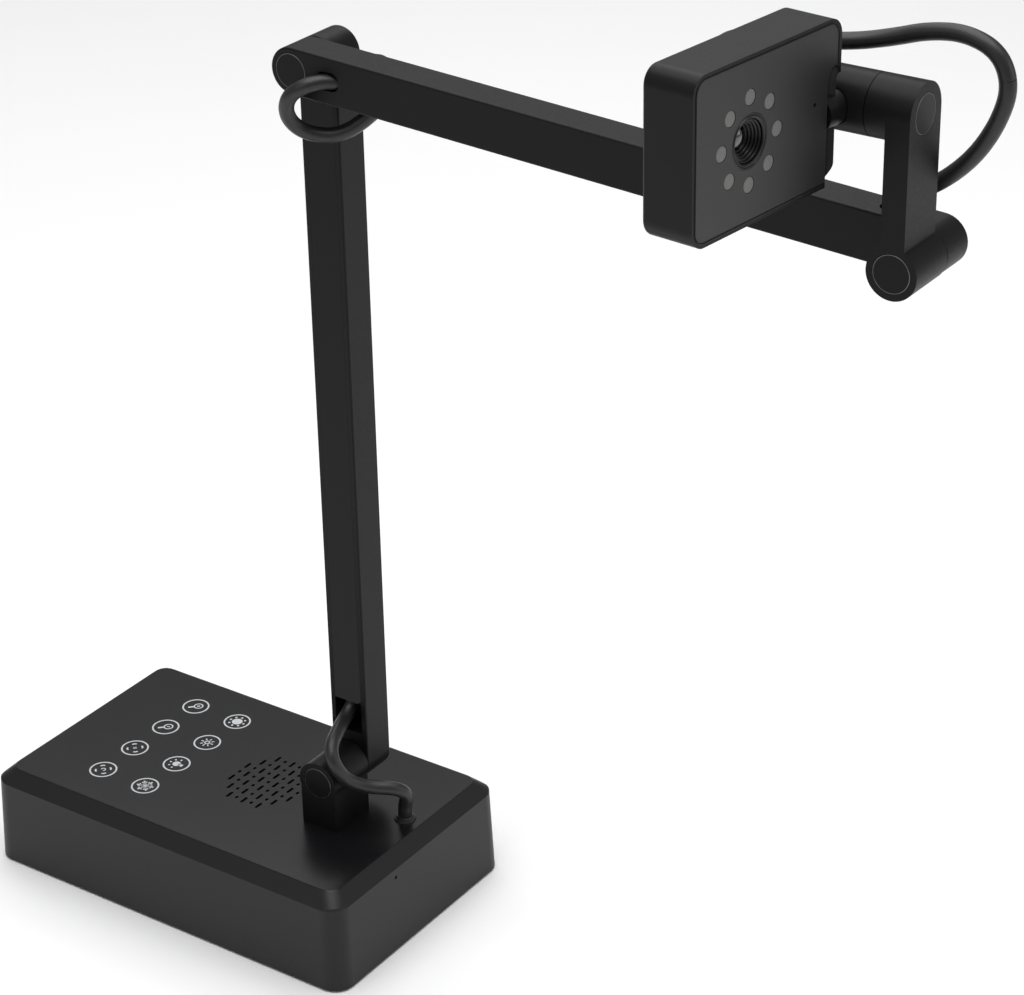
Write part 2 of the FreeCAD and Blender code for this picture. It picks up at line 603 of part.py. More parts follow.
def link():
    """The short link: a flat bar with a barrel across its foot and another one along X at its top."""
    bar = body("link_blank")
    outline = sketch_on(bar, "side", "link_outline", f"{LINK_FRONT} - link_thickness", SWIVEL_Y,
                        f"( {WRIST_Z} + {SWIVEL_Z} ) / 2")
    add_rectangle(outline, "link_width", "link_height")
    pad(bar, outline, "link_pad", "link_thickness")
    foot = HINGES["wrist"].rod("link_barrel", "barrel_radius", "0", "link_width")
    top = rod("link_top_barrel", "link_width / 2", "swivel_seam", f"{LINK_FRONT} - swivel_seam", SWIVEL_Y,
              SWIVEL_Z, X_AXIS)
    blank = join("link_solid", [bar, foot, top])
    keep(cut("link_bar", blank, HINGES["wrist"].near_cutters() + HINGES["swivel"].far_cutters()))


# ---------------------------------------------------------------- camera head, drawn in its own frame
HEAD_TURN = FreeCAD.Rotation(Z_AXIS, size("head_yaw"))
HEAD_X = f"( {LINK_FRONT} - head_setback )"
HEAD_Y = f"( {SWIVEL_Y} - link_width / 2 - head_gap - head_width / 2 )"
HEAD_Z = f"( {SWIVEL_Z} + head_rise )"
TILT_Z = "( 0 - head_rise )"
LAP = "( head_width / 2 + head_lap )"


def head_solid(piece, x, y, z):
    """Ties a piece's place in the head's frame to the sheet, and turns it with the head."""
    piece.Placement = FreeCAD.Placement(FreeCAD.Vector(), HEAD_TURN * piece.Placement.Rotation)
    place(piece, f"{HEAD_X} + ( {x} ) * cos(head_yaw) - ( {y} ) * sin(head_yaw)",
          f"{HEAD_Y} + ( {x} ) * sin(head_yaw) + ( {y} ) * cos(head_yaw)", f"{HEAD_Z} + {z}")
    return piece


def head_rod(label, radius, length, x, y, z, along=X_AXIS):
    return head_solid(rod(label, radius, length, along=along), x, y, z)


def head_box(label, length, width, height, x, y, z):
    """A box in the head's frame that starts at x and is centred on y and z."""
    made = box(label, length, width, height)
    return head_solid(made, x, f"( {y} ) - ( {width} ) / 2", f"( {z} ) - ( {height} ) / 2")


def along_x(edge, step, middle):
    return step.Length > 0.5 and abs(step.x) > 0.99 * step.Length


def rounded_plate(label, width, height, start, thickness, corner):
    """A plate in the head's frame, with its corners rounded about X."""
    made = body(label)
    outline = sketch_on(made, "side", label + "_outline", start)
    add_rectangle(outline, width, height)
    pad(made, outline, label + "_pad", thickness)
    dress(made, "Fillet", label + "_corners", along_x, corner)
    return made


def scoop(label):
    """A round groove down the head's front, close to its right edge, with a long rounded end at its top."""
    x, y = "scoop_radius / 10", "head_width / 2 - scoop_inset"
    groove = head_rod(label + "_groove", "scoop_radius", "head_height", x, y, "scoop_top - head_height",
                      Z_AXIS)
    end = doc.addObject("Part::Ellipsoid", label + "_end")
    bind(end, Radius1="scoop_round", Radius2="scoop_radius", Radius3="scoop_radius")
    head_solid(end, x, y, "scoop_top")
    return join(label, [groove, end])


def head():
    casing = rounded_plate("casing_blank", "head_width", "head_height", "0 - head_depth", "head_depth",
                           "head_corner")
    back = casing.Shape.BoundBox.XMin
    dress(casing, "Fillet", "casing_back_edge", lambda e, s, m: abs(m.x - back) < 0.01, "1.5")
    inside = sketch_on(casing, "side", "casing_inside", across="0 - hinge_block / 2")
    add_rectangle(inside, "head_width - 2 * head_wall - 2.6 - hinge_block",
                  "head_height - 2 * head_wall - 2.6")
    pocket(casing, inside, "casing_inside_cut", "head_depth - head_wall")
    head_solid(casing, "0", "0", "0")
    seat = rounded_plate("panel_seat", "head_width - 2 * panel_inset", "head_height - 2 * panel_inset",
                         "0 - panel_thickness", "2 * panel_thickness", "head_corner - panel_inset")
    head_solid(seat, "0", "0", "0")
    boss = head_rod("tilt_boss", "tilt_boss_radius", "head_lap + 6 - layer_gap", "0 - tilt_back",
                    "head_width / 2 - 6", TILT_Z, Y_AXIS)
    bore = head_rod("tilt_bore", "tilt_pin_radius + running_clearance", "40", "0 - tilt_back",
                    "head_width / 2 - 20", TILT_Z, Y_AXIS)
    gland_hole = head_rod("head_gland_hole", "cable_radius + 1", "10", "0 - head_depth - 1", "20", "14.5")
    screw_holes = [head_rod(f"head_screw_hole_{i}_{j}", "1.5", "8", "0 - head_depth - 1",
                            f"{i} * ( head_width / 2 - 6 ) - 1", f"{j} * ( head_height / 2 - 5 )")
                   for i in (-1, 1) for j in (-1, 1)]
    scooped = cut("casing_scooped", casing, [seat, scoop("casing_scoop")])
    bossed = join("casing_bossed", [scooped, boss])
    keep(cut("head_casing", bossed, [bore, gland_hole] + screw_holes))

    panel = rounded_plate("panel_blank", "head_width - 2 * panel_inset - 0.3",
                          "head_height - 2 * panel_inset - 0.3", "0 - panel_thickness + 0.1",
                          "panel_thickness - 0.1", "head_corner - panel_inset")
    head_solid(panel, "0", "0", "0")
    holes = [head_rod("lens_hole", "lens_recess_radius", "4", "0 - 3", "lens_across", "0"),
             head_rod("head_mic_hole", "0.7", "4", "0 - 3", "mic_across", "mic_up")]
    for i, (y, z) in enumerate(led_places()):
        holes.append(head_rod(f"led_hole_{i}", "led_radius + 0.05", "4", "0 - 3", y, z))
    keep(cut("front_panel", panel, [scoop("panel_scoop")] + holes))

    windows = [head_rod(f"led_window_{i}", "led_radius", "panel_thickness - 0.1", "0 - panel_thickness - 0.1",
                        y, z) for i, (y, z) in enumerate(led_places())]
    keep(group("led_windows", windows))
    middle = ("lens_across", "0")
    ring = head_rod("lens_ring_blank", "lens_recess_radius - 0.05", "panel_thickness + 0.1",
                    "0 - panel_thickness", *middle)
    keep(cut("lens_ring", ring, [head_rod("lens_ring_hole", "lens_recess_radius - 2", "6", "0 - 4",
                                          *middle)]))
    barrel = head_rod("lens_barrel_blank", "lens_recess_radius - 2.05", "9", "0 - 9.8", *middle)
    steps = [head_rod(f"lens_step_{i}", f"{radius}", "9", f"0 - 0.8 - {depth}", *middle)
             for i, (radius, depth) in enumerate(((6.9, 0.9), (5.8, 1.9), (4.8, 2.9), (3.6, 3.9)))]
    keep(cut("lens_barrel", barrel, steps + [head_rod("lens_bore", "2", "12", "0 - 11", *middle)]))
    keep(head_rod("lens_glass", "3.55", "1.6", "0 - 4.65", *middle))
    keep(head_box("sensor_board", "1.2", "26", "26", "0 - 12", *middle))
    led_board = head_rod("led_board_blank", "led_ring_radius + led_radius + 1.5", "1.2",
                         "0 - panel_thickness - 2.2", *middle)
    keep(cut("led_board", led_board, [head_rod("led_board_hole", "lens_recess_radius - 1", "6", "0 - 6",
                                               *middle)]))
    screws = []
    for i in (-1, 1):
        for j in (-1, 1):
            at = (f"{i} * ( head_width / 2 - 6 ) - 1", f"{j} * ( head_height / 2 - 5 )")
            screws.append(head_rod(f"head_screw_{i}_{j}", "1.4", "6", "0 - head_depth + 0.3", *at))
    keep(group("head_screws", screws))
    sleeve = [head_rod("head_sleeve", "cable_radius + 0.9", "6", "0 - head_depth - 3.5", "20", "14.5"),
              head_rod("head_collar", "cable_radius + 2.4", "1.5", "0 - head_depth - 1.5", "20", "14.5")]
    keep(cut("head_gland", join("head_gland_blank", sleeve),
             [head_rod("head_gland_bore", "cable_radius", "12", "0 - head_depth - 6", "20", "14.5")]))
    keep(head_rod("tilt_pin", "tilt_pin_radius", "head_lap + 24", "0 - tilt_back", "head_width / 2 - 15",
                  TILT_Z, Y_AXIS))
    nut = head_rod("tilt_nut_blank", "3.4", "2.6", "0 - tilt_back", "head_width / 2 - 15", TILT_Z, Y_AXIS)
    keep(cut("tilt_nut", nut, [head_rod("tilt_nut_hole", "tilt_pin_radius", "6", "0 - tilt_back",
                                        "head_width / 2 - 17", TILT_Z, Y_AXIS)]))


def led_places():
    """The lamp windows stand on a circle round the lens, the first one straight above it."""
    places = []
    for i in range(LED_COUNT):
        angle = 360 * i / LED_COUNT
        places.append((f"lens_across + led_ring_radius * sin({angle})", f"led_ring_radius * cos({angle})"))
    return places


def swivel():
    """The second barrel, with a round socket in its near side for the head's boss."""
    seam = f"{LINK_FRONT} - swivel_seam - layer_gap"
    barrel = rod("swivel_blank", "link_width / 2", "swivel_length", f"{seam} - swivel_length", SWIVEL_Y,
                 SWIVEL_Z, X_AXIS)
    socket = head_rod("tilt_socket", "tilt_boss_radius + layer_gap", "20", "0 - tilt_back", f"{LAP} - 20",
                      TILT_Z, Y_AXIS)
    thread = head_rod("tilt_thread", "tilt_pin_radius + 0.02", "12", "0 - tilt_back", f"{LAP} - 1", TILT_Z,
                      Y_AXIS)
    keep(cut("swivel_barrel", barrel, [socket, thread] + HINGES["swivel"].near_cutters()))


# ---------------------------------------------------------------- cables
def cable_path(points):
    """Straight runs joined by arcs as large as their two runs allow."""
    edges, at, radii = [], points[0], []
    for before, corner, after in zip(points, points[1:], points[2:]):
        back, on = (before - corner).normalize(), (after - corner).normalize()
        shorter = min((before - corner).Length, (after - corner).Length)
        half_turn = (math.pi - back.getAngle(on)) / 2
        inset = 0.45 * shorter
        radius = inset / math.tan(half_turn)
        start, end = corner + back * inset, corner + on * inset
        middle = corner + (back + on).normalize() * (radius / math.cos(half_turn) - radius)
        edges.append(Part.LineSegment(at, start).toShape())
        edges.append(Part.Arc(start, middle, end).toShape())
        at = end
        radii.append(round(radius, 1))
    edges.append(Part.LineSegment(at, points[-1]).toShape())
    return Part.Wire(edges), radii


def cable(label, points):
    """A round cable along a route, with its volume compared with section times length."""
    points = [FreeCAD.Vector(*p) for p in points]
    path, radii = cable_path(points)
    radius = size("cable_radius") - 0.02
    section = Part.Wire([Part.makeCircle(radius, points[0], points[1] - points[0])])
    solid = path.makePipeShell([section], True, True)
    share = solid.Volume / (math.pi * radius**2 * path.Length)
    print(label, "length", round(path.Length, 1), "radii", radii, "volume share", round(share, 4))
    made = doc.addObject("Part::Feature", label)
    made.Label = label
    made.Shape = solid
    return keep(made)


FOOT_ROUTE = [(84, 10, 46.5), (84, 10, 53.5), (86.4, 9.2, 60), (86, 5.4, 65), (82, 1.1, 67),
    (77.5, -3.4, 68), (73, -8, 70.5), (70, -12, 74), (68, -15, 79), (65.5, -16, 85),
    (62.5, -12.6, 89), (60.5, -6.8, 90.5), (58.5, -0.7, 91.5), (56.5, 5.5, 92), (55.6, 11.2, 94.4),
    (55.4, 14.6, 100), (56, 15.6, 111), (57.4, 15.9, 132), (58.8, 16, 172), (59, 16, 240),
    (57.6, 16, 308), (55.4, 16, 358)]
ELBOW_ROUTE = [(59.5, 16.5, 376), (65.4, 16.5, 376), (71, 16.8, 378.4), (73.3, 17.3, 383.2),
    (73.2, 17.5, 388.2), (75.6, 17.2, 392.4), (80.2, 16.8, 394.6), (84.9, 16.1, 393.6),
    (88, 15.3, 390), (88.8, 13.9, 385.2), (86.8, 12, 381), (83.2, 9.4, 376.6), (79.5, 6.4, 372.6),
    (75, 2.8, 369), (69.5, -1, 367), (64, -5.3, 368), (60, -9.7, 371), (58, -13.5, 376.5),
    (59.5, -16, 383), (63.5, -16.6, 388.5), (69, -14.4, 392), (73.2, -9.2, 392.8),
    (77.6, -4.4, 391.6), (84, -2, 390.2), (94, -1, 389.6), (113, -0.7, 389.6), (150, -0.5, 389),
    (220, -0.4, 385.8), (289, -0.4, 380.5)]
HEAD_ROUTE = [(314.5, -0.4, 384), (316.5, -0.4, 392), (326.5, -0.4, 397.5), (337.5, -0.4, 405),
    (347.5, -0.4, 415.5), (354.8, -0.4, 428.5), (358.2, -0.4, 441.5), (353.4, -0.4, 452.5),
    (341.2, -0.6, 457), (327.5, -1, 455.6), (314.2, -2.2, 451.2), (301.5, -6, 448.6),
    (289.5, -13.5, 449.2), (279, -24, 451.4), (271.5, -36.5, 453.4), (273.5, -47.5, 453.6),
    (284, -51.6, 453), (290.7, -52.3, 453)]


# ---------------------------------------------------------------- whole object
def main():
    base_housing()
    base_closure()
    base_electronics()
    speaker()
    gland()
    foot_bracket()
    post()
    arm()
    link()
    swivel()
    head()
    for hinge in HINGES.values():
        hinge.hardware()
    cable("foot_cable", FOOT_ROUTE)
    cable("elbow_cable", ELBOW_ROUTE)
    cable("head_cable", HEAD_ROUTE)
    doc.recompute()
    write_out()


def write_out():
    """Checks every object, then writes each finished sub-part under its label."""
    failed = [o.Label for o in doc.Objects if "Invalid" in o.State or "Error" in o.State]
    if failed:
        raise RuntimeError(f"objects failed: {failed}")
    for part in PARTS:
        if part.Shape.isNull() or not part.Shape.isValid() or not part.Shape.Solids:
            raise RuntimeError(f"{part.Label}: no valid solid")
    os.makedirs("parts", exist_ok=True)
    for part in PARTS:
        part.Shape.exportStep(f"parts/{part.Label}.step")
    print(len(PARTS), "sub-parts")


main()
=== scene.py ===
import json
import math

import bmesh
import bpy
import numpy as np
from mathutils import Matrix, Vector

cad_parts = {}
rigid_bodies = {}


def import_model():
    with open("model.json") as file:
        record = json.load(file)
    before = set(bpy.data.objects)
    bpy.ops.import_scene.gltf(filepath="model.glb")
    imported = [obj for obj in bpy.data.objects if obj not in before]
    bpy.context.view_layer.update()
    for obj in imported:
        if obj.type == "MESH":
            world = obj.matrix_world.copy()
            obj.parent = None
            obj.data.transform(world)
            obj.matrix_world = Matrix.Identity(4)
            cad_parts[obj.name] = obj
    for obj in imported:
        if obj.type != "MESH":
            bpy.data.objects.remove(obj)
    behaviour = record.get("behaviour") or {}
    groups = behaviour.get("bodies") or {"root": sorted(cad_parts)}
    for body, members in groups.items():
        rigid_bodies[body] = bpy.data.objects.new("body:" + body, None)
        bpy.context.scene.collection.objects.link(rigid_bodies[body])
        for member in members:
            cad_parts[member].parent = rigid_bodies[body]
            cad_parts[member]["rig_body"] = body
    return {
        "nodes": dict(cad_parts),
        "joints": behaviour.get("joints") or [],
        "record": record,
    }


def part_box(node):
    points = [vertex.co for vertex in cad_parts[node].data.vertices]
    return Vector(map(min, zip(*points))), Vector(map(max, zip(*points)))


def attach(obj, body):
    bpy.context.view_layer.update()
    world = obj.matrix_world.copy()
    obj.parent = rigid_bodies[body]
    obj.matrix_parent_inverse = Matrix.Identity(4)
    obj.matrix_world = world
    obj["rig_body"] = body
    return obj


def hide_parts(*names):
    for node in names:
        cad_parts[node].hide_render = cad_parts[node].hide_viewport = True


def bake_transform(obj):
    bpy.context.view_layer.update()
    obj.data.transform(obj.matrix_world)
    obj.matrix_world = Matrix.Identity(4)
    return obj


bl_info = {
    "name": "Document camera",
    "version": (1, 0, 0),
    "blender": (4, 5, 0),
    "location": "3D View > Sidebar > Document camera",
    "description": "Dresses a desk document camera: cables, key print, caps, lens, lamps, finishes",
    "category": "Object",
}

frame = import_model()

# The frame is in metres.  +Z is up.  +X runs from the keys to the post's foot and on along the arm, and
# the lens looks that way.  The head hangs on the -Y side.
MM = 0.001
BASE_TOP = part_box("base_shell")[1].z
CABLE_RADIUS = 3.1 * MM  # as the CAD model has it

# ---------------------------------------------------------------- the head's own directions
TILT_AXIS = next(joint["axis"] for joint in frame["joints"] if joint["name"] == "head_tilt")
HEAD_ACROSS = Vector(TILT_AXIS).normalized()
HEAD_UP = Vector((0, 0, 1))
HEAD_OUT = HEAD_ACROSS.cross(HEAD_UP)


# ================================================================ numpy surfaces
SHARP_ANGLE = math.radians(35)  # faces that meet more steeply than this keep a crisp edge


def millimetres(*values):
    """Millimetres as an array in metres."""
    return np.array(values, float) * MM


def grid_faces(rows, columns, wrap_rows=False, wrap_columns=False, capped=False, start=0):
    """Quads between neighbouring rows and columns, with a flat face over each open end if capped."""
    i = np.arange(rows if wrap_rows else rows - 1)[:, None]
    j = np.arange(columns if wrap_columns else columns - 1)[None, :]
    after_i, after_j = (i + 1) % rows, (j + 1) % columns
    here, below = i * columns, after_i * columns
    quads = np.stack([here + j, here + after_j, below + after_j, below + j], axis=-1).reshape(-1, 4)
    faces = (quads + start).tolist()
    if capped:
        ring = np.arange(columns)
        faces.append((ring[::-1] + start).tolist())
        faces.append((ring + (rows - 1) * columns + start).tolist())
    return faces


def mesh_piece(name, grids, material, body=None, smooth=True):
    """One object out of grids: each has points shaped (rows, columns, 3) and how its ends meet."""
    points, faces, start = [], [], 0
    for grid in grids:
        rows, columns, _ = grid["points"].shape
        points.append(grid["points"].reshape(-1, 3))
        faces += grid_faces(rows, columns, grid.get("wrap_rows", False),
                            grid.get("wrap_columns", True), grid.get("capped", False), start)
        start += rows * columns
    mesh = bpy.data.meshes.new(name)
    mesh.from_pydata(np.concatenate(points).tolist(), [], faces)
    mesh.update()
    made = bpy.data.objects.new(name, mesh)
    bpy.context.scene.collection.objects.link(made)
    mesh.polygons.foreach_set("use_smooth", np.full(len(mesh.polygons), smooth))
    mesh.materials.append(material)
    point_outwards(mesh)
    if smooth:
        mesh.set_sharp_from_angle(angle=SHARP_ANGLE)
    if body:
        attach(made, body)
    return made


def point_outwards(mesh):
    """Turns closed shells so that every face looks out."""
    work = bmesh.new()
    work.from_mesh(mesh)
    bmesh.ops.recalc_face_normals(work, faces=work.faces)
    work.to_mesh(mesh)
    work.free()


def turned(profile, centre, axis, sides=96):
    """A lathe surface: profile rows are (distance along the axis, radius), and turn goes round.

    point = centre + axis * distance + radius * (cos(turn) * first + sin(turn) * second), where first
    and second are square to the axis."""
    profile = np.array(profile, float) * MM
    axis = np.array(axis, float)
    first = np.cross(axis, (0, 0, 1) if abs(axis[2]) < 0.9 else (1, 0, 0))
    first /= np.linalg.norm(first)
    second = np.cross(axis, first)
    turn = np.linspace(0, 2 * math.pi, sides, endpoint=False)
    ring = np.cos(turn)[:, None] * first + np.sin(turn)[:, None] * second
    along = profile[:, 0, None, None] * axis
    points = np.array(centre, float) + along + profile[:, 1, None, None] * ring[None]
    return {"points": points, "wrap_columns": True}


def carried(path, section, up, closed=False):
    """A section carried along a path: its first number goes to the path's side, its second up.

    side = direction of travel x up, so point = path + side * first + up * second."""
    path = np.array(path, float)
    section = np.array(section, float)
    if closed:
        travel = np.roll(path, -1, axis=0) - np.roll(path, 1, axis=0)
    else:
        travel = np.gradient(path, axis=0)
    side = np.cross(travel, up)
    side /= np.linalg.norm(side, axis=1, keepdims=True)
    sideways = side[:, None] * section[None, :, :1]
    upwards = np.array(up, float) * section[None, :, 1:]
    return {"points": path[:, None] + sideways + upwards, "wrap_rows": closed, "wrap_columns": True,
            "capped": not closed}


def tube(path, radius, sides=20):
    """A round tube: a ring of points carried along the path, turned as little as can be at each step.

    Each step's first direction is the last one less its part along the new direction of travel."""
    path = np.array(path, float)
    travel = np.gradient(path, axis=0)
    travel /= np.linalg.norm(travel, axis=1, keepdims=True)
    first = np.empty_like(path)
    ahead = np.cross(travel[0], (0.3, 0.8, 0.5))
    for step, direction in enumerate(travel):
        ahead = ahead - direction * np.dot(ahead, direction)
        ahead = ahead / np.linalg.norm(ahead)
        first[step] = ahead
    second = np.cross(travel, first)
    turn = np.linspace(0, 2 * math.pi, sides, endpoint=False)
    ring = (np.cos(turn)[None, :, None] * first[:, None]
            + np.sin(turn)[None, :, None] * second[:, None])
    return {"points": path[:, None] + radius * ring, "wrap_columns": True, "capped": True}


def arc(centre, radius, start, end, count):
    """Points on an arc in the plane, from one angle in degrees to another."""
    angle = np.radians(np.linspace(start, end, count))
    return np.stack([centre[0] + radius * np.cos(angle), centre[1] + radius * np.sin(angle)], axis=1)


# ================================================================ materials
def linear(hex_colour):
    """An sRGB colour such as "1c1c1e" as linear red, green, blue and alpha."""
    parts = [int(hex_colour[i:i + 2], 16) / 255 for i in (0, 2, 4)]
    return tuple(c / 12.92 if c <= 0.04045 else ((c + 0.055) / 1.055) ** 2.4 for c in parts) + (1.0,)


def add_node(tree, kind, settings=None, inputs=None):
    """Adds a node, sets its properties, and gives each named input a number or a link."""
    made = tree.nodes.new(kind)
    for name, value in (settings or {}).items():
        setattr(made, name, value)
    for name, value in (inputs or {}).items():
        if isinstance(value, bpy.types.NodeSocket):
            tree.links.new(value, made.inputs[name])
        else:
            made.inputs[name].default_value = value
    return made


def per_metre(size_mm):
    """A texture scale whose features are size_mm across, because the coordinates are in metres."""
    return 1 / (size_mm * MM)


def new_material(name, **constants):
    """An empty material with a Principled shader that already holds the constant values."""
    material = bpy.data.materials.new(name)
    material.use_nodes = True
    tree = material.node_tree
    tree.nodes.clear()
    shader = add_node(tree, "ShaderNodeBsdfPrincipled",
                      inputs={word.replace("_", " "): value for word, value in constants.items()})
    add_node(tree, "ShaderNodeOutputMaterial", inputs={"Surface": shader.outputs["BSDF"]})
    place = add_node(tree, "ShaderNodeTexCoord").outputs["Object"]
    return material, tree, shader, place


def varied(tree, place, shader, colours, roughness, patch_mm, grain_mm, depth_mm, stretch=(1, 1, 1)):
    """Gives a shader a drifting colour, a roughness between two, and a fine raised grain.

    Returns the grain's socket and the bump node, so that a finish can add to them."""
    mapped = add_node(tree, "ShaderNodeMapping",
                      inputs={"Vector": place, "Scale": stretch}).outputs["Vector"]
    patches = add_node(tree, "ShaderNodeTexNoise", inputs={
        "Vector": place, "Scale": per_metre(patch_mm), "Detail": 5.0}).outputs["Fac"]
    grain = add_node(tree, "ShaderNodeTexNoise", inputs={
        "Vector": mapped, "Scale": per_metre(grain_mm), "Detail": 2.0}).outputs["Fac"]
    shade = add_node(tree, "ShaderNodeMix", {"data_type": "RGBA"},
                     {0: patches, 6: linear(colours[0]), 7: linear(colours[1])})
    tree.links.new(shade.outputs[2], shader.inputs["Base Color"])
    matt = add_node(tree, "ShaderNodeMapRange", inputs={
        "Value": grain, "From Min": 0.3, "From Max": 0.7,
        "To Min": roughness[0], "To Max": roughness[1]})
    tree.links.new(matt.outputs["Result"], shader.inputs["Roughness"])
    bump = add_node(tree, "ShaderNodeBump",
                    inputs={"Height": grain, "Strength": 1.0, "Distance": depth_mm * MM})
    tree.links.new(bump.outputs["Normal"], shader.inputs["Normal"])
    return grain, bump


def textured_abs():
    """Satin black ABS, moulded in a spark-eroded tool: a fine even grain that breaks up reflections.

    The real grain is about 0.1 mm; it is drawn at 0.4 mm so that it shows."""
    material, tree, shader, place = new_material("satin_black_abs", IOR=1.53, Metallic=0.0,
                                                 Specular_IOR_Level=0.2)
    varied(tree, place, shader, ("0c0c0e", "121214"), (0.38, 0.46), 22, 0.4, 0.012)
    return material


def housing_abs():
    """The base's ABS: grained sides, and a smoother top face that holds soft reflections."""
    material, tree, shader, place = new_material("base_black_abs", IOR=1.53, Metallic=0.0,
                                                 Specular_IOR_Level=0.34)
    grain, bump = varied(tree, place, shader, ("0c0c0e", "121214"), (0.42, 0.50), 30, 0.4, 0.012)
    height = add_node(tree, "ShaderNodeSeparateXYZ", inputs={"Vector": place}).outputs["Z"]
    on_top = add_node(tree, "ShaderNodeMapRange", inputs={
        "Value": height, "From Min": BASE_TOP - 0.4 * MM,
        "From Max": BASE_TOP - 0.1 * MM}).outputs["Result"]
    matt = shader.inputs["Roughness"].links[0].from_socket
    smoother = add_node(tree, "ShaderNodeMapRange", inputs={
        "Value": grain, "From Min": 0.3, "From Max": 0.7,
        "To Min": 0.23, "To Max": 0.27}).outputs["Result"]
    both = add_node(tree, "ShaderNodeMix", {"data_type": "FLOAT"}, {0: on_top, 2: matt, 3: smoother})
    tree.links.new(both.outputs[0], shader.inputs["Roughness"])
    flatter = add_node(tree, "ShaderNodeMapRange",
                       inputs={"Value": on_top, "To Min": 1.0, "To Max": 0.25})
    tree.links.new(flatter.outputs["Result"], bump.inputs["Strength"])
    return material


def anodised_aluminium():
    """Black anodised extruded aluminium: dense satin black, with faint lines along the draw."""
    material, tree, shader, place = new_material("black_anodised_aluminium", Metallic=0.1,
                                                 Specular_IOR_Level=0.2)
    varied(tree, place, shader, ("0c0c0e", "121214"), (0.40, 0.48), 16, 0.5, 0.006, (1.0, 0.4, 1.0))
    return material


def polycarbonate():
    """Glossy black polycarbonate strip: near mirror, with the soft waves of an extruded sheet."""
    material, tree, shader, place = new_material("gloss_black_polycarbonate", IOR=1.58, Metallic=0.0,
                                                 Specular_IOR_Level=0.14)
    varied(tree, place, shader, ("060607", "0a0a0b"), (0.07, 0.12), 40, 18, 0.02)
    return material


def turned_rim():
    """Bright turned edge of a cap: bare aluminium with a fine grain."""
    material, tree, shader, place = new_material("bright_turned_aluminium", Metallic=1.0)
    varied(tree, place, shader, ("5c5c5e", "848486"), (0.24, 0.40), 3, 0.3, 0.004)
    return material


def turned_cap():
    """Black anodised cap face, turned: a little smoother than the tubes."""
    material, tree, shader, place = new_material("black_turned_cap", Metallic=0.2,
                                                 Specular_IOR_Level=0.2)
    varied(tree, place, shader, ("0c0c0e", "141416"), (0.30, 0.40), 5, 0.35, 0.005)
    return material


def soft_cable_jacket():
    """Extruded soft TPE jacket: satin black with slow swells and a fine drag along the surface."""
    material, tree, shader, place = new_material("soft_black_jacket", IOR=1.5, Metallic=0.0)
    varied(tree, place, shader, ("141415", "1e1e1f"), (0.34, 0.46), 9, 0.6, 0.015)
    return material


def front_acrylic():
    """Dark satin front panel: moulded PMMA with a fine etched face."""
    material, tree, shader, place = new_material("satin_dark_acrylic", IOR=1.49, Metallic=0.0)
    varied(tree, place, shader, ("1b1b1d", "202022"), (0.36, 0.44), 18, 0.35, 0.006)
    return material


def printing_ink():
    """Light grey screen-printed ink, matt, slightly uneven in cover."""
    material, tree, shader, place = new_material("light_grey_ink", IOR=1.5, Metallic=0.0)
    varied(tree, place, shader, ("b4b6b9", "c9cbcd"), (0.55, 0.7), 2.0, 0.3, 0.004)
    return material


def milky_acrylic():
    """Milky acrylic lamp cover over a dark lamp: soft grey with a pattern of small moulded lenses."""
    material, tree, shader, place = new_material("milky_acrylic", IOR=1.49, Metallic=0.0)
    _, bump = varied(tree, place, shader, ("5f5f5e", "6c6c6a"), (0.3, 0.42), 1.2, 0.3, 0.01)
    cells = add_node(tree, "ShaderNodeTexVoronoi", inputs={"Vector": place, "Scale": per_metre(0.7)})
    tree.links.new(cells.outputs["Distance"], bump.inputs["Height"])
    bump.inputs["Distance"].default_value = 0.05 * MM
    return material


def baffle_black():
    """Deep black anodised lens baffle, with just enough gloss for its lips to catch light."""
    material, tree, shader, place = new_material("deep_black_baffle", Metallic=0.2)
    varied(tree, place, shader, ("060606", "0b0b0c"), (0.26, 0.36), 4, 0.3, 0.004)
    return material


def coated_glass():
    """Lens glass with an anti-reflection coat: dark, mirror-smooth, with a blue to violet cast."""
    material, tree, shader, place = new_material("coated_lens_glass", IOR=1.7, Metallic=0.0,
                                                 Coat_Weight=1.0, Coat_Roughness=0.02, Coat_IOR=1.6)
    varied(tree, place, shader, ("07080f", "0e0a18"), (0.02, 0.05), 2.5, 4, 0.0005)
    return material


def plated_steel():
    """Zinc-plated steel: cool grey, bright, with a faint spangle."""
    material, tree, shader, place = new_material("zinc_plated_steel", Metallic=1.0)
    varied(tree, place, shader, ("7c7f83", "9c9fa3"), (0.26, 0.42), 3, 0.4, 0.008)
    return material


def nickel_shell():
    """Nickel-plated socket shell: warm bright grey."""
    material, tree, shader, place = new_material("nickel_plate", Metallic=1.0)
    varied(tree, place, shader, ("a09c94", "bbb7af"), (0.18, 0.28), 2, 0.3, 0.003)
    return material


def solder_mask():
    """Green solder mask over copper: tracks show as slightly raised, lighter lines."""
    material, tree, shader, place = new_material("green_solder_mask", IOR=1.5, Metallic=0.0)
    _, bump = varied(tree, place, shader, ("063218", "0a4a25"), (0.25, 0.4), 3, 0.5, 0.01)
    tracks = add_node(tree, "ShaderNodeTexBrick", inputs={
        "Vector": place, "Scale": per_metre(9), "Mortar Size": 0.04, "Color1": linear("052c14"),
        "Color2": linear("073a1b"), "Mortar": linear("1a7a3c")})
    tree.links.new(tracks.outputs["Color"], shader.inputs["Base Color"])
    tree.links.new(tracks.outputs["Fac"], bump.inputs["Height"])
    bump.inputs["Distance"].default_value = 0.05 * MM
    return material


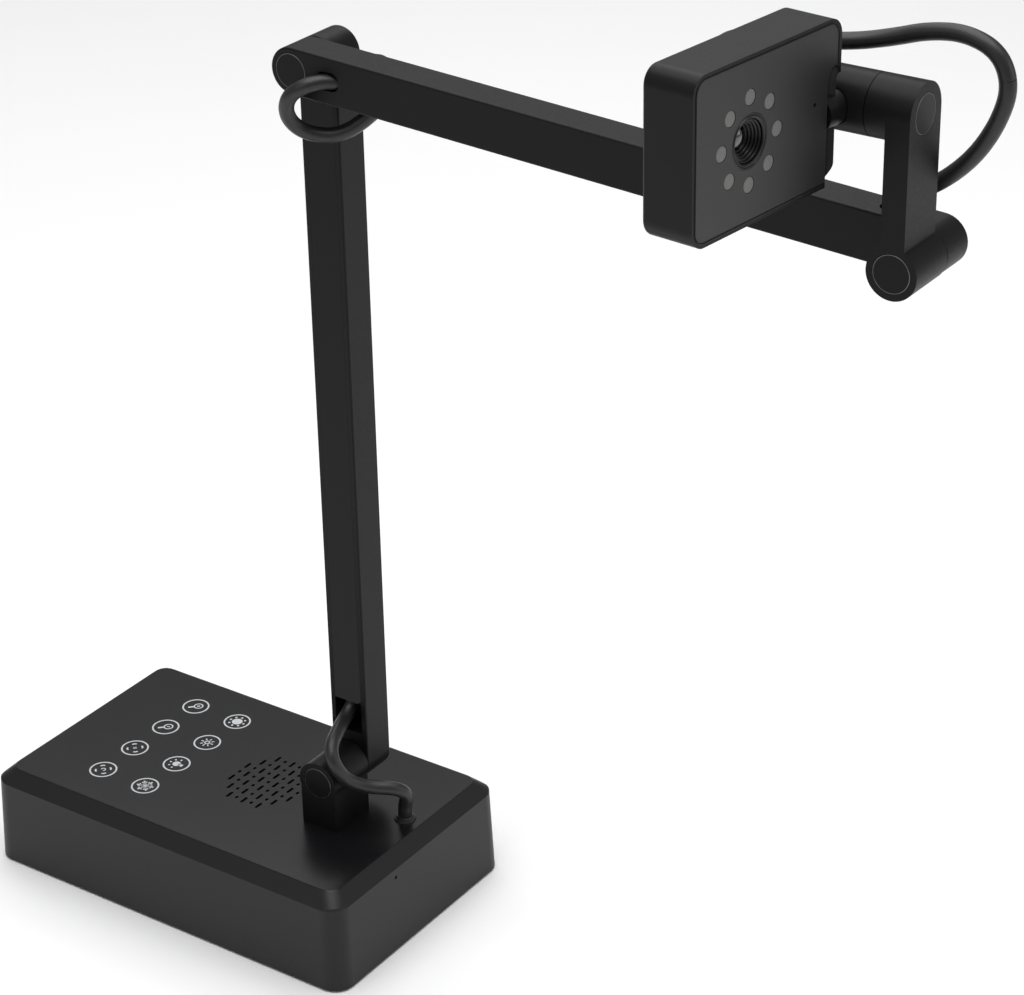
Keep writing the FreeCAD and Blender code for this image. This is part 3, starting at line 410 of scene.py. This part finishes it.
def paper_cone():
    """Black pulp loudspeaker cone: matt and fibrous."""
    material, tree, shader, place = new_material("black_paper_cone", IOR=1.45, Metallic=0.0)
    varied(tree, place, shader, ("0c0c0c", "1a1a19"), (0.8, 0.95), 1.5, 0.4, 0.03, (1, 1, 4))
    return material


def silicone_mat():
    """Black silicone rubber sheet: matt, with a moulded dimple pattern that grips the desk."""
    material, tree, shader, place = new_material("black_silicone_rubber", IOR=1.43, Metallic=0.0)
    _, bump = varied(tree, place, shader, ("101010", "181818"), (0.62, 0.78), 12, 0.5, 0.02)
    dimples = add_node(tree, "ShaderNodeTexVoronoi",
                       inputs={"Vector": place, "Scale": per_metre(2.4)})
    tree.links.new(dimples.outputs["Distance"], bump.inputs["Height"])
    bump.inputs["Distance"].default_value = 0.25 * MM
    return material


def acetal():
    """Natural black acetal washer: waxy satin."""
    material, tree, shader, place = new_material("black_acetal", IOR=1.48, Metallic=0.0)
    varied(tree, place, shader, ("161616", "202020"), (0.38, 0.5), 3, 0.3, 0.004)
    return material


def pale_floor():
    """Pale matt sweep, just uneven enough not to look computed."""
    material, tree, shader, place = new_material("pale_matt_sweep", IOR=1.4, Metallic=0.0,
                                                 Specular_IOR_Level=0.1)
    varied(tree, place, shader, ("f7f7f7", "fafafa"), (0.85, 0.95), 400, 3, 0.01)
    return material


MATERIALS = {}


def finish(word):
    """The material that goes by that word, made the first time it is asked for."""
    makers = {
        "abs": textured_abs, "housing": housing_abs, "anodised": anodised_aluminium,
        "strip": polycarbonate, "rim": turned_rim, "cap": turned_cap, "jacket": soft_cable_jacket,
        "panel": front_acrylic,
        "ink": printing_ink, "lamp": milky_acrylic, "baffle": baffle_black, "glass": coated_glass,
        "steel": plated_steel, "nickel": nickel_shell, "board": solder_mask, "paper": paper_cone,
        "mat": silicone_mat, "acetal": acetal, "floor": pale_floor,
    }
    if word not in MATERIALS:
        MATERIALS[word] = makers[word]()
    return MATERIALS[word]


# Which finish each packed material slot takes.
SLOT_FINISH = {
    "housing_plastic": "abs", "mat_rubber": "mat", "steel": "steel", "circuit_board": "board",
    "socket_steel": "nickel", "cone_paper": "paper", "magnet_steel": "steel",
    "cable_jacket": "jacket", "arm_metal": "anodised", "strip_plastic": "strip", "cap_metal": "cap", "washer_polymer": "acetal",
    "panel_plastic": "panel", "lamp_diffuser": "lamp", "lens_black": "baffle", "lens_glass": "glass",
}
NODE_FINISH = {"base_shell": "housing"}

# ================================================================ cables
# Each route is the captive cable's own, in millimetres, as the CAD model has it.
FOOT_ROUTE = [(84, 10, 46.5), (84, 10, 53.5), (86.4, 9.2, 60), (86, 5.4, 65), (82, 1.1, 67),
    (77.5, -3.4, 68), (73, -8, 70.5), (70, -12, 74), (68, -15, 79), (65.5, -16, 85),
    (62.5, -12.6, 89), (60.5, -6.8, 90.5), (58.5, -0.7, 91.5), (56.5, 5.5, 92), (55.6, 11.2, 94.4),
    (55.4, 14.6, 100), (56, 15.6, 111), (57.4, 15.9, 132), (58.8, 16, 172), (59, 16, 240),
    (57.6, 16, 308), (55.4, 16, 358)]
ELBOW_ROUTE = [(59.5, 16.5, 376), (65.4, 16.5, 376), (71, 16.8, 378.4), (73.3, 17.3, 383.2),
    (73.2, 17.5, 388.2), (75.6, 17.2, 392.4), (80.2, 16.8, 394.6), (84.9, 16.1, 393.6),
    (88, 15.3, 390), (88.8, 13.9, 385.2), (86.8, 12, 381), (83.2, 9.4, 376.6), (79.5, 6.4, 372.6),
    (75, 2.8, 369), (69.5, -1, 367), (64, -5.3, 368), (60, -9.7, 371), (58, -13.5, 376.5),
    (59.5, -16, 383), (63.5, -16.6, 388.5), (69, -14.4, 392), (73.2, -9.2, 392.8),
    (77.6, -4.4, 391.6), (84, -2, 390.2), (94, -1, 389.6), (113, -0.7, 389.6), (150, -0.5, 389),
    (220, -0.4, 385.8), (289, -0.4, 380.5)]
HEAD_ROUTE = [(314.5, -0.4, 384), (316.5, -0.4, 392), (326.5, -0.4, 397.5), (337.5, -0.4, 405),
    (347.5, -0.4, 415.5), (354.8, -0.4, 428.5), (358.2, -0.4, 441.5), (353.4, -0.4, 452.5),
    (341.2, -0.6, 457), (327.5, -1, 455.6), (314.2, -2.2, 451.2), (301.5, -6, 448.6),
    (289.5, -13.5, 449.2), (279, -24, 451.4), (271.5, -36.5, 453.4), (273.5, -47.5, 453.6),
    (284, -51.6, 453), (290.7, -52.3, 453)]


# Places on the routes where one stretch ends and the next begins, in millimetres.
ARM_HOLE = (76, -6, 392.2)
LINK_BACK = (357.5, -0.4, 444)
SWIVEL_TOP = (312, -2.5, 450.6)


def smooth_line(name, route, steps=10):
    """Points read from a NURBS line that has the route's points as its control points."""
    curve = bpy.data.curves.new(name + "_line", "CURVE")
    curve.dimensions = "3D"
    spline = curve.splines.new("NURBS")
    spline.points.add(len(route) - 1)
    places = np.column_stack([np.array(route, float) * MM, np.ones(len(route))])
    spline.points.foreach_set("co", places.ravel())
    spline.order_u = 3
    spline.use_endpoint_u = True
    spline.resolution_u = steps
    holder = bpy.data.objects.new(name + "_line", curve)
    mesh = bpy.data.meshes.new_from_object(holder)
    line = np.empty(len(mesh.vertices) * 3)
    mesh.vertices.foreach_get("co", line)
    bpy.data.objects.remove(holder)
    bpy.data.curves.remove(curve)
    bpy.data.meshes.remove(mesh)
    return line.reshape(-1, 3)


def nearest(line, place):
    """The number of the line's point that is nearest to a place in millimetres."""
    return int(np.argmin(np.linalg.norm(line - millimetres(*place), axis=1)))


def cable_stretch(name, line, node, bodies):
    """A stretch of captive cable: it rides on one body, or, between two, is left in place on no body.
    """
    bends = len(bodies) == 2
    body = None if bends else bodies[0]
    made = mesh_piece(name, [tube(line, CABLE_RADIUS)], finish("jacket"), body)
    if bends:
        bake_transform(made)
    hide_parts(node)
    return made


# ================================================================ settings
class DocumentCameraSettings(bpy.types.PropertyGroup):
    """Sizes and the key light's power that a user may change."""
    ring_radius: bpy.props.FloatProperty(
        name="Key ring radius", description="Middle of the printed ring round each touch key",
        default=6.0 * MM, unit="LENGTH")
    ring_width: bpy.props.FloatProperty(
        name="Ring line width", description="Width of the printed ring's line", default=0.75 * MM,
        unit="LENGTH")
    ink_height: bpy.props.FloatProperty(
        name="Ink height", description="How far the print stands above the housing",
        default=0.04 * MM, unit="LENGTH")
    rim_radius: bpy.props.FloatProperty(
        name="Cap rim radius", description="Middle of the bright edge round each hinge cap",
        default=7.0 * MM, unit="LENGTH")
    rim_width: bpy.props.FloatProperty(
        name="Cap rim width", description="Width of the bright edge", default=0.32 * MM,
        unit="LENGTH")
    bead_radius: bpy.props.FloatProperty(
        name="Head bead radius", description="Radius of the fine bead round the front of the head",
        default=0.35 * MM, unit="LENGTH")
    light_power: bpy.props.FloatProperty(
        name="Key light", description="Power of the largest soft light, in watts", default=36.0)


# ================================================================ pieces
class DOCCAM_OT_cables(bpy.types.Operator):
    """The captive cable's loops at the foot, elbow and head; the loops that cross a joint are left
    loose in place and do not bend with it
    """
    bl_idname = "doccam.cables"
    bl_label = "Cables"

    def execute(self, context):
        foot = smooth_line("foot", FOOT_ROUTE)
        cable_stretch("foot_loop", foot, "foot_cable", ("base", "post"))
        elbow = smooth_line("elbow", ELBOW_ROUTE)
        hole = nearest(elbow, ARM_HOLE) + 1
        cable_stretch("elbow_loop", elbow[:hole], "elbow_cable", ("post", "arm"))
        cable_stretch("arm_run", elbow[hole - 1:], "elbow_cable", ("arm",))
        head = smooth_line("head", HEAD_ROUTE)
        top = nearest(head, LINK_BACK) + 1
        over = nearest(head, SWIVEL_TOP) + 1
        cable_stretch("wrist_loop", head[:top], "head_cable", ("arm", "link"))
        cable_stretch("swivel_loop", head[top - 1:over], "head_cable", ("link", "swivel"))
        cable_stretch("head_loop", head[over - 1:], "head_cable", ("swivel", "head"))
        return {"FINISHED"}


def ring_points(radius, count=48):
    """Points round a circle about the origin."""
    return arc((0, 0), radius, 0, 360 - 360 / count, count)


def magnifier(sign):
    """A lens with a sign in it and a handle, as strokes: points, width, closed."""
    lens = (0.9, 0.9)
    strokes = [(arc(lens, 2.0, 0, 345, 24), 0.6, True), dash(-0.7, -0.7, -2.6, -2.6, 1.1),
               dash(0.0, 0.9, 1.8, 0.9, 0.5)]
    if sign == "plus":
        strokes.append(dash(0.9, 0.0, 0.9, 1.8, 0.5))
    return strokes


def corner_marks(centre_mark):
    """Four round corners about a mark."""
    strokes = []
    for x in (-1, 1):
        for y in (-1, 1):
            start = math.degrees(math.atan2(y, x)) - 45
            strokes.append((arc((1.5 * x, 1.5 * y), 1.4, start, start + 90, 8), 0.8, False))
    return strokes + centre_mark


def sun(disc, ray_from, ray_to, rays, width, hollow=False):
    """A round body with rays about it."""
    if hollow:
        strokes = [(ring_points(disc, 24), 0.6, True)]
    else:
        strokes = [(ring_points(disc / 2, 24), disc, True)]
    for i in range(rays):
        angle = 2 * math.pi * i / rays
        way = np.array((math.cos(angle), math.sin(angle)))
        strokes.append((np.array([way * ray_from, way * ray_to]), width, False))
    return strokes


def bulb():
    """A lamp with its cap towards +X and five rays on the other side."""
    strokes = [(ring_points(0.95, 24), 1.9, True), (np.array([(1.2, 0.0), (3.4, 0.0)]), 1.7, False)]
    for angle in (90, 135, 180, 225, 270):
        way = np.array((math.cos(math.radians(angle)), math.sin(math.radians(angle))))
        strokes.append((np.array([way * 2.9, way * 3.9]), 0.75, False))
    return strokes


def flake():
    """Six arms, each with a pair of branches, about a filled middle."""
    strokes = [(ring_points(0.8, 16), 1.6, True)]
    for i in range(6):
        angle = math.pi * i / 3 + 0.26
        way = np.array((math.cos(angle), math.sin(angle)))
        strokes.append((np.array([way * 0.8, way * 4.1]), 0.8, False))
        for side in (-1, 1):
            branch = np.array((math.cos(angle + side * 0.85), math.sin(angle + side * 0.85)))
            strokes.append((np.array([way * 2.1, way * 2.1 + branch * 1.5]), 0.65, False))
    return strokes


def dash(x0, y0, x1, y1, width=0.6):
    """A straight stroke."""
    return (np.array([(x0, y0), (x1, y1)], float), width, False)


KEY_ROWS = (32.8, 11.0, -10.8, -32.7)  # y of the keys' middles, in millimetres
LOUPE_COLUMN = -55.0  # x of the column with the magnifiers and the frames
LIGHT_COLUMN = -30.0  # x of the column with the suns, the bulb and the flake
INK_SINK = 0.02  # how far the ink's underside lies below the housing's top, in millimetres


class DOCCAM_OT_key_print(bpy.types.Operator):
    """The printed rings and signs of the eight touch keys"""
    bl_idname = "doccam.key_print"
    bl_label = "Key print"

    def execute(self, context):
        settings = context.scene.document_camera
        turn_mark = [(arc((0, 0), 1.0, -60, 200, 12), 0.5, False)]
        cross_mark = [dash(-0.9, 0, 0.9, 0), dash(0, -0.9, 0, 0.9)]
        marks = {
            LOUPE_COLUMN: (magnifier("plus"), magnifier("minus"), corner_marks(cross_mark),
                           corner_marks(turn_mark)),
            LIGHT_COLUMN: (sun(2.5, 3.2, 4.2, 8, 1.0), sun(1.1, 1.9, 3.3, 8, 0.6, hollow=True),
                           bulb(), flake()),
        }
        grids = []
        for x, signs in marks.items():
            for y, strokes in zip(KEY_ROWS, signs):
                ring = (ring_points(settings.ring_radius / MM), settings.ring_width / MM, True)
                for points, width, closed in strokes + [ring]:
                    grids.append(self.stroke(points + (x, y), width, closed, settings.ink_height))
        made = mesh_piece("key_print", grids, finish("ink"), "base", smooth=False)
        return {"FINISHED"}

    @staticmethod
    def stroke(points, width, closed, height):
        """A flat line of ink: a low rectangle carried along the stroke, on the housing's top."""
        path = np.column_stack([points * MM, np.full(len(points), BASE_TOP)])
        half = width / 2 * MM
        low = -INK_SINK * MM
        section = [(-half, low), (half, low), (half, height), (-half, height)]
        return carried(path, section, (0, 0, 1), closed)


RIM_DEPTH = 0.5  # how far a rim reaches into its cap, in millimetres
RIM_BEVEL = 0.06  # how deep the bevel at its edge goes, in millimetres


class DOCCAM_OT_cap_rims(bpy.types.Operator):
    """The bright turned edge of each hinge cap"""
    bl_idname = "doccam.cap_rims"
    bl_label = "Cap rims"

    def execute(self, context):
        settings = context.scene.document_camera
        caps = {
            "foot_near_cap": (0, -1, 0), "elbow_near_cap": (0, -1, 0), "wrist_near_cap": (0, -1, 0),
            "foot_far_cap": (0, 1, 0), "elbow_far_cap": (0, 1, 0), "wrist_far_cap": (0, 1, 0),
            "swivel_far_cap": (1, 0, 0),
        }
        for node, outwards in caps.items():
            low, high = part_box(node)
            outer = np.array([(low + high)[i] / 2 + outwards[i] * (high - low)[i] / 2
                              for i in range(3)])
            middle = settings.rim_radius / MM
            half = settings.rim_width / 2 / MM
            section = [(-RIM_DEPTH, middle - half), (-RIM_BEVEL, middle - half),
                       (0.0, middle - 0.5 * half), (0.0, middle + 0.5 * half),
                       (-RIM_BEVEL, middle + half), (-RIM_DEPTH, middle + half)]
            rim = turned(section, outer, outwards)
            rim["wrap_rows"] = True
            made = mesh_piece(node.replace("_cap", "_rim"), [rim], finish("rim"), body_of(node))
        return {"FINISHED"}


def body_of(node):
    """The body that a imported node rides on."""
    return frame["nodes"][node]["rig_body"]


def head_point(out, across, up):
    """A place on the head, in millimetres from the lens's centre on the front face."""
    return LENS_FRONT + HEAD_OUT * out * MM + HEAD_ACROSS * across * MM + HEAD_UP * up * MM


def middle_of(node):
    """The middle of a node's box."""
    low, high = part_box(node)
    return (low + high) / 2


# The lens's centre on the head's front face, 0.75 mm before the middle of the ring's box.
LENS_FRONT = middle_of("lens_ring") + HEAD_OUT * 0.75 * MM
# Millimetres from here on.  Profile rows are (distance before the front face, radius).
LENS_ACROSS = -10.1  # from the panel's middle to the lens
LENS_DEPTH = 9.7  # from the front face to the bottom of the baffle
BEZEL_PROFILE = [
    (-1.5, 7.6), (-0.35, 7.6), (-0.05, 7.9), (0.05, 8.15), (0.05, 8.4), (-0.12, 8.52), (-0.3, 8.65),
    (-0.3, 8.8), (-0.12, 8.92), (0.0, 9.05), (0.0, 9.3), (-0.1, 9.43), (-1.5, 9.43)]
# Each step of the baffle: its depth, its radius and the radius at its foot.
BAFFLE_STEPS = ((0.8, 7.1, 6.5), (1.7, 6.4, 5.8), (2.6, 5.7, 5.1), (3.5, 5.0, 4.3), (4.4, 4.2, 3.62))
GLASS_BACK = -4.65
GLASS_EDGE = -4.4
GLASS_RADIUS = 3.45
GLASS_RISE = 0.8
TINY_RADIUS = 0.02  # closes the middle of a dome without a point where faces meet

LAMP_COUNT = 8
LAMP_RING = 15.0  # radius of the ring that the lamps' middles stand on
LAMP_RADIUS = 2.75
LAMP_BACK = -1.6

# The panel's outline about its middle, and where the scoop cuts into it.
PANEL_HALF_WIDTH = 38.7
PANEL_HALF_HEIGHT = 27.7
PANEL_CORNER = 4.9
SCOOP_TOP_UP = 12.5  # where the outline starts, on the scoop's side
SCOOP_END_ACROSS = 32.6  # where it ends, on the lower side


class DOCCAM_OT_lens(bpy.types.Operator):
    """The lens group: grooved ring, stepped and threaded baffle, and a domed front element"""
    bl_idname = "doccam.lens"
    bl_label = "Lens"

    def execute(self, context):
        centre = LENS_FRONT
        ring = turned(BEZEL_PROFILE, centre, HEAD_OUT)
        ring["wrap_rows"] = True
        made = mesh_piece("lens_bezel", [ring], finish("baffle"), "head")
        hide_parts("lens_ring")
        rows = [(-LENS_DEPTH, 7.4), (-0.9, 7.4), (-0.82, 7.25)]
        for depth, radius, next_radius in BAFFLE_STEPS:
            rows += [(-depth, radius), (-depth - 0.05, radius - 0.08)]
            rows += [(-depth - 0.12 - 0.13 * i, radius - 0.1 - 0.12 * (i % 2)) for i in range(5)]
            rows += [(-depth - 0.85, radius - 0.1), (-depth - 0.88, next_radius + 0.1)]
        rows += [(-5.5, 2.0), (-LENS_DEPTH, 2.0)]
        baffle = turned(rows, centre, HEAD_OUT)
        baffle["wrap_rows"] = True
        made = mesh_piece("lens_baffle", [baffle], finish("baffle"), "head", smooth=False)
        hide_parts("lens_barrel")
        rim_to_middle = np.linspace(1, 0, 12)
        dome = [(GLASS_BACK, TINY_RADIUS), (GLASS_BACK, GLASS_RADIUS)]
        dome += [(GLASS_EDGE + GLASS_RISE * (1 - share ** 2), GLASS_RADIUS * share + TINY_RADIUS)
                 for share in rim_to_middle]
        element = turned(dome, centre, HEAD_OUT, sides=64)
        element["capped"] = True
        made = mesh_piece("front_element", [element], finish("glass"), "head")
        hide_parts("lens_glass")
        return {"FINISHED"}


class DOCCAM_OT_lamps(bpy.types.Operator):
    """The eight milky lamp covers round the lens, each slightly domed"""
    bl_idname = "doccam.lamps"
    bl_label = "Lamps"

    def execute(self, context):
        grids = []
        for i in range(LAMP_COUNT):
            angle = math.radians(360 / LAMP_COUNT * i)
            centre = head_point(0, LAMP_RING * math.sin(angle), LAMP_RING * math.cos(angle))
            cover = turned([(LAMP_BACK, TINY_RADIUS), (LAMP_BACK, LAMP_RADIUS), (-0.2, LAMP_RADIUS),
                            (-0.1, LAMP_RADIUS - 0.1), (-0.06, LAMP_RADIUS - 0.35),
                            (-0.03, LAMP_RADIUS / 2), (-0.02, TINY_RADIUS)],
                           centre, HEAD_OUT, sides=40)
            cover["capped"] = True
            grids.append(cover)
        made = mesh_piece("lamp_covers", grids, finish("lamp"), "head")
        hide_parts("led_windows")
        return {"FINISHED"}


class DOCCAM_OT_head_bead(bpy.types.Operator):
    """The fine bead between the head's casing and its front panel"""
    bl_idname = "doccam.head_bead"
    bl_label = "Head bead"

    def execute(self, context):
        settings = context.scene.document_camera
        path = np.array([head_point(-0.05, across - LENS_ACROSS, up) for across, up in self.line()])
        turn = np.linspace(0, 2 * math.pi, 10, endpoint=False)
        section = settings.bead_radius * np.stack([np.cos(turn), np.sin(turn)], axis=1)
        made = mesh_piece("head_bead", [carried(path, section, HEAD_OUT)], finish("cap"), "head")
        return {"FINISHED"}

    @staticmethod
    def line():
        """The panel's outline from the scoop's upper end, round over the top, to its lower end."""
        x, y = PANEL_HALF_WIDTH - PANEL_CORNER, PANEL_HALF_HEIGHT - PANEL_CORNER
        bends = [arc(centre, PANEL_CORNER, start, start + 90, 9)
                 for centre, start in (((x, y), 0), ((-x, y), 90), ((-x, -y), 180))]
        first = [(PANEL_HALF_WIDTH, SCOOP_TOP_UP)]
        last = [(SCOOP_END_ACROSS, -PANEL_HALF_HEIGHT)]
        return np.concatenate([first] + bends + [last])


class DOCCAM_OT_finishes(bpy.types.Operator):
    """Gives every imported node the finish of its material"""
    bl_idname = "doccam.finishes"
    bl_label = "Finishes"

    def execute(self, context):
        for entry in frame["record"]["subparts"]:
            node = frame["nodes"][entry["node"]]
            word = NODE_FINISH.get(entry["node"], SLOT_FINISH[entry["material_slot"]])
            node.data.materials.clear()
            node.data.materials.append(finish(word))
        return {"FINISHED"}


# ================================================================ stage
# The camera was fitted to the photo: millimetres for its place, lens and sensor, degrees for its
# angles, and shares of the picture's width for its shift.
CAMERA_PLACE = (765.9, -875.4, 782.3)
CAMERA_AZIMUTH = 34.909
CAMERA_ELEVATION = 27.318
CAMERA_ROLL = -1.048
CAMERA_LENS = 105.8
CAMERA_SENSOR = 36.0
CAMERA_SHIFT = (-0.006, -0.0007)
FLOOR_REACH = 6  # half the floor's width, in metres
ROOM_STRENGTH = 0.32


class DOCCAM_OT_stage(bpy.types.Operator):
    """Pale floor, soft lights and the camera"""
    bl_idname = "doccam.stage"
    bl_label = "Stage"

    def execute(self, context):
        self.camera(context)
        self.floor()
        self.lights(context.scene.document_camera.light_power)
        self.world(context)
        return {"FINISHED"}

    @staticmethod
    def camera(context):
        """The camera looks down from the lens's side, turned a little about its own line of sight."""
        a, e, r = (math.radians(v) for v in (CAMERA_AZIMUTH, CAMERA_ELEVATION, CAMERA_ROLL))
        back = Vector((math.sin(a) * math.cos(e), -math.cos(a) * math.cos(e), math.sin(e)))
        right = (-back).cross(Vector((0, 0, 1))).normalized()
        up = right.cross(-back)
        turned_right = math.cos(r) * right + math.sin(r) * up
        turned_up = -math.sin(r) * right + math.cos(r) * up
        data = bpy.data.cameras.new("view")
        data.lens = CAMERA_LENS
        data.sensor_width = CAMERA_SENSOR
        data.shift_x, data.shift_y = CAMERA_SHIFT
        data.clip_end = 20.0
        made = bpy.data.objects.new("view", data)
        turn = Matrix((turned_right, turned_up, back)).transposed().to_4x4()
        made.matrix_world = Matrix.Translation(millimetres(*CAMERA_PLACE)) @ turn
        context.scene.collection.objects.link(made)
        context.scene.camera = made

    @staticmethod
    def floor():
        """A wide flat sheet, a grid of two parameters that are its x and y."""
        reach = np.linspace(-FLOOR_REACH, FLOOR_REACH, 13)
        x, y = np.meshgrid(reach, reach)
        points = np.stack([x, y, np.zeros_like(x)], axis=-1)
        made = mesh_piece("floor", [{"points": points, "wrap_columns": False}], finish("floor"))
        if made.data.polygons[0].normal.z < 0:
            made.data.flip_normals()

    @staticmethod
    def lights(power):
        """A large overhead box, a high one behind, one to the right and a weak fill."""
        boxes = {
            "overhead": ((0.25, -0.1, 2.0), (0.1, 0.0, 0.2), (2.0, 2.0), power),
            "behind": ((-1.1, 1.6, 2.2), (0.1, 0.0, 0.2), (2.4, 1.0), 0.46 * power),
            "side": ((2.2, 0.7, 0.9), (0.1, 0.0, 0.2), (1.6, 1.2), 0.2 * power),
            "fill": ((-0.2, -2.2, 1.6), (0.1, 0.0, 0.2), (1.4, 1.0), 0.12 * power),
        }
        for name, (place, aim, size, watts) in boxes.items():
            data = bpy.data.lights.new(name, "AREA")
            data.shape = "RECTANGLE"
            data.size, data.size_y = size
            data.energy = watts
            made = bpy.data.objects.new(name, data)
            away = Vector(place) - Vector(aim)
            turn = away.to_track_quat("Z", "Y").to_matrix().to_4x4()
            made.matrix_world = Matrix.Translation(place) @ turn
            bpy.context.scene.collection.objects.link(made)

    @staticmethod
    def world(context):
        """An even pale surround."""
        world = bpy.data.worlds.new("pale_room")
        world.use_nodes = True
        background = world.node_tree.nodes["Background"]
        background.inputs["Color"].default_value = linear("ffffff")
        background.inputs["Strength"].default_value = ROOM_STRENGTH
        context.scene.world = world
        context.scene.view_settings.view_transform = "Standard"


# ================================================================ add-on
class DOCCAM_PT_panel(bpy.types.Panel):
    """Lists the sizes and the pieces"""
    bl_label = "Document camera"
    bl_idname = "DOCCAM_PT_panel"
    bl_space_type = "VIEW_3D"
    bl_region_type = "UI"
    bl_category = "Document camera"

    def draw(self, context):
        for name in DocumentCameraSettings.__annotations__:
            self.layout.prop(context.scene.document_camera, name)
        for operator in OPERATORS:
            self.layout.operator(operator.bl_idname)


OPERATORS = (DOCCAM_OT_stage, DOCCAM_OT_cables, DOCCAM_OT_finishes, DOCCAM_OT_key_print,
             DOCCAM_OT_cap_rims, DOCCAM_OT_lens, DOCCAM_OT_lamps, DOCCAM_OT_head_bead)
CLASSES = (DocumentCameraSettings,) + OPERATORS + (DOCCAM_PT_panel,)


def register():
    for kind in CLASSES:
        bpy.utils.register_class(kind)
    bpy.types.Scene.document_camera = bpy.props.PointerProperty(type=DocumentCameraSettings)


def unregister():
    del bpy.types.Scene.document_camera
    for kind in reversed(CLASSES):
        bpy.utils.unregister_class(kind)


def main():
    """Registers the add-on and makes every piece in order."""
    register()
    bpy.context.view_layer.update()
    for operator in OPERATORS:
        group, name = operator.bl_idname.split(".")
        getattr(getattr(bpy.ops, group), name)()


if __name__ == "__main__":
    main()
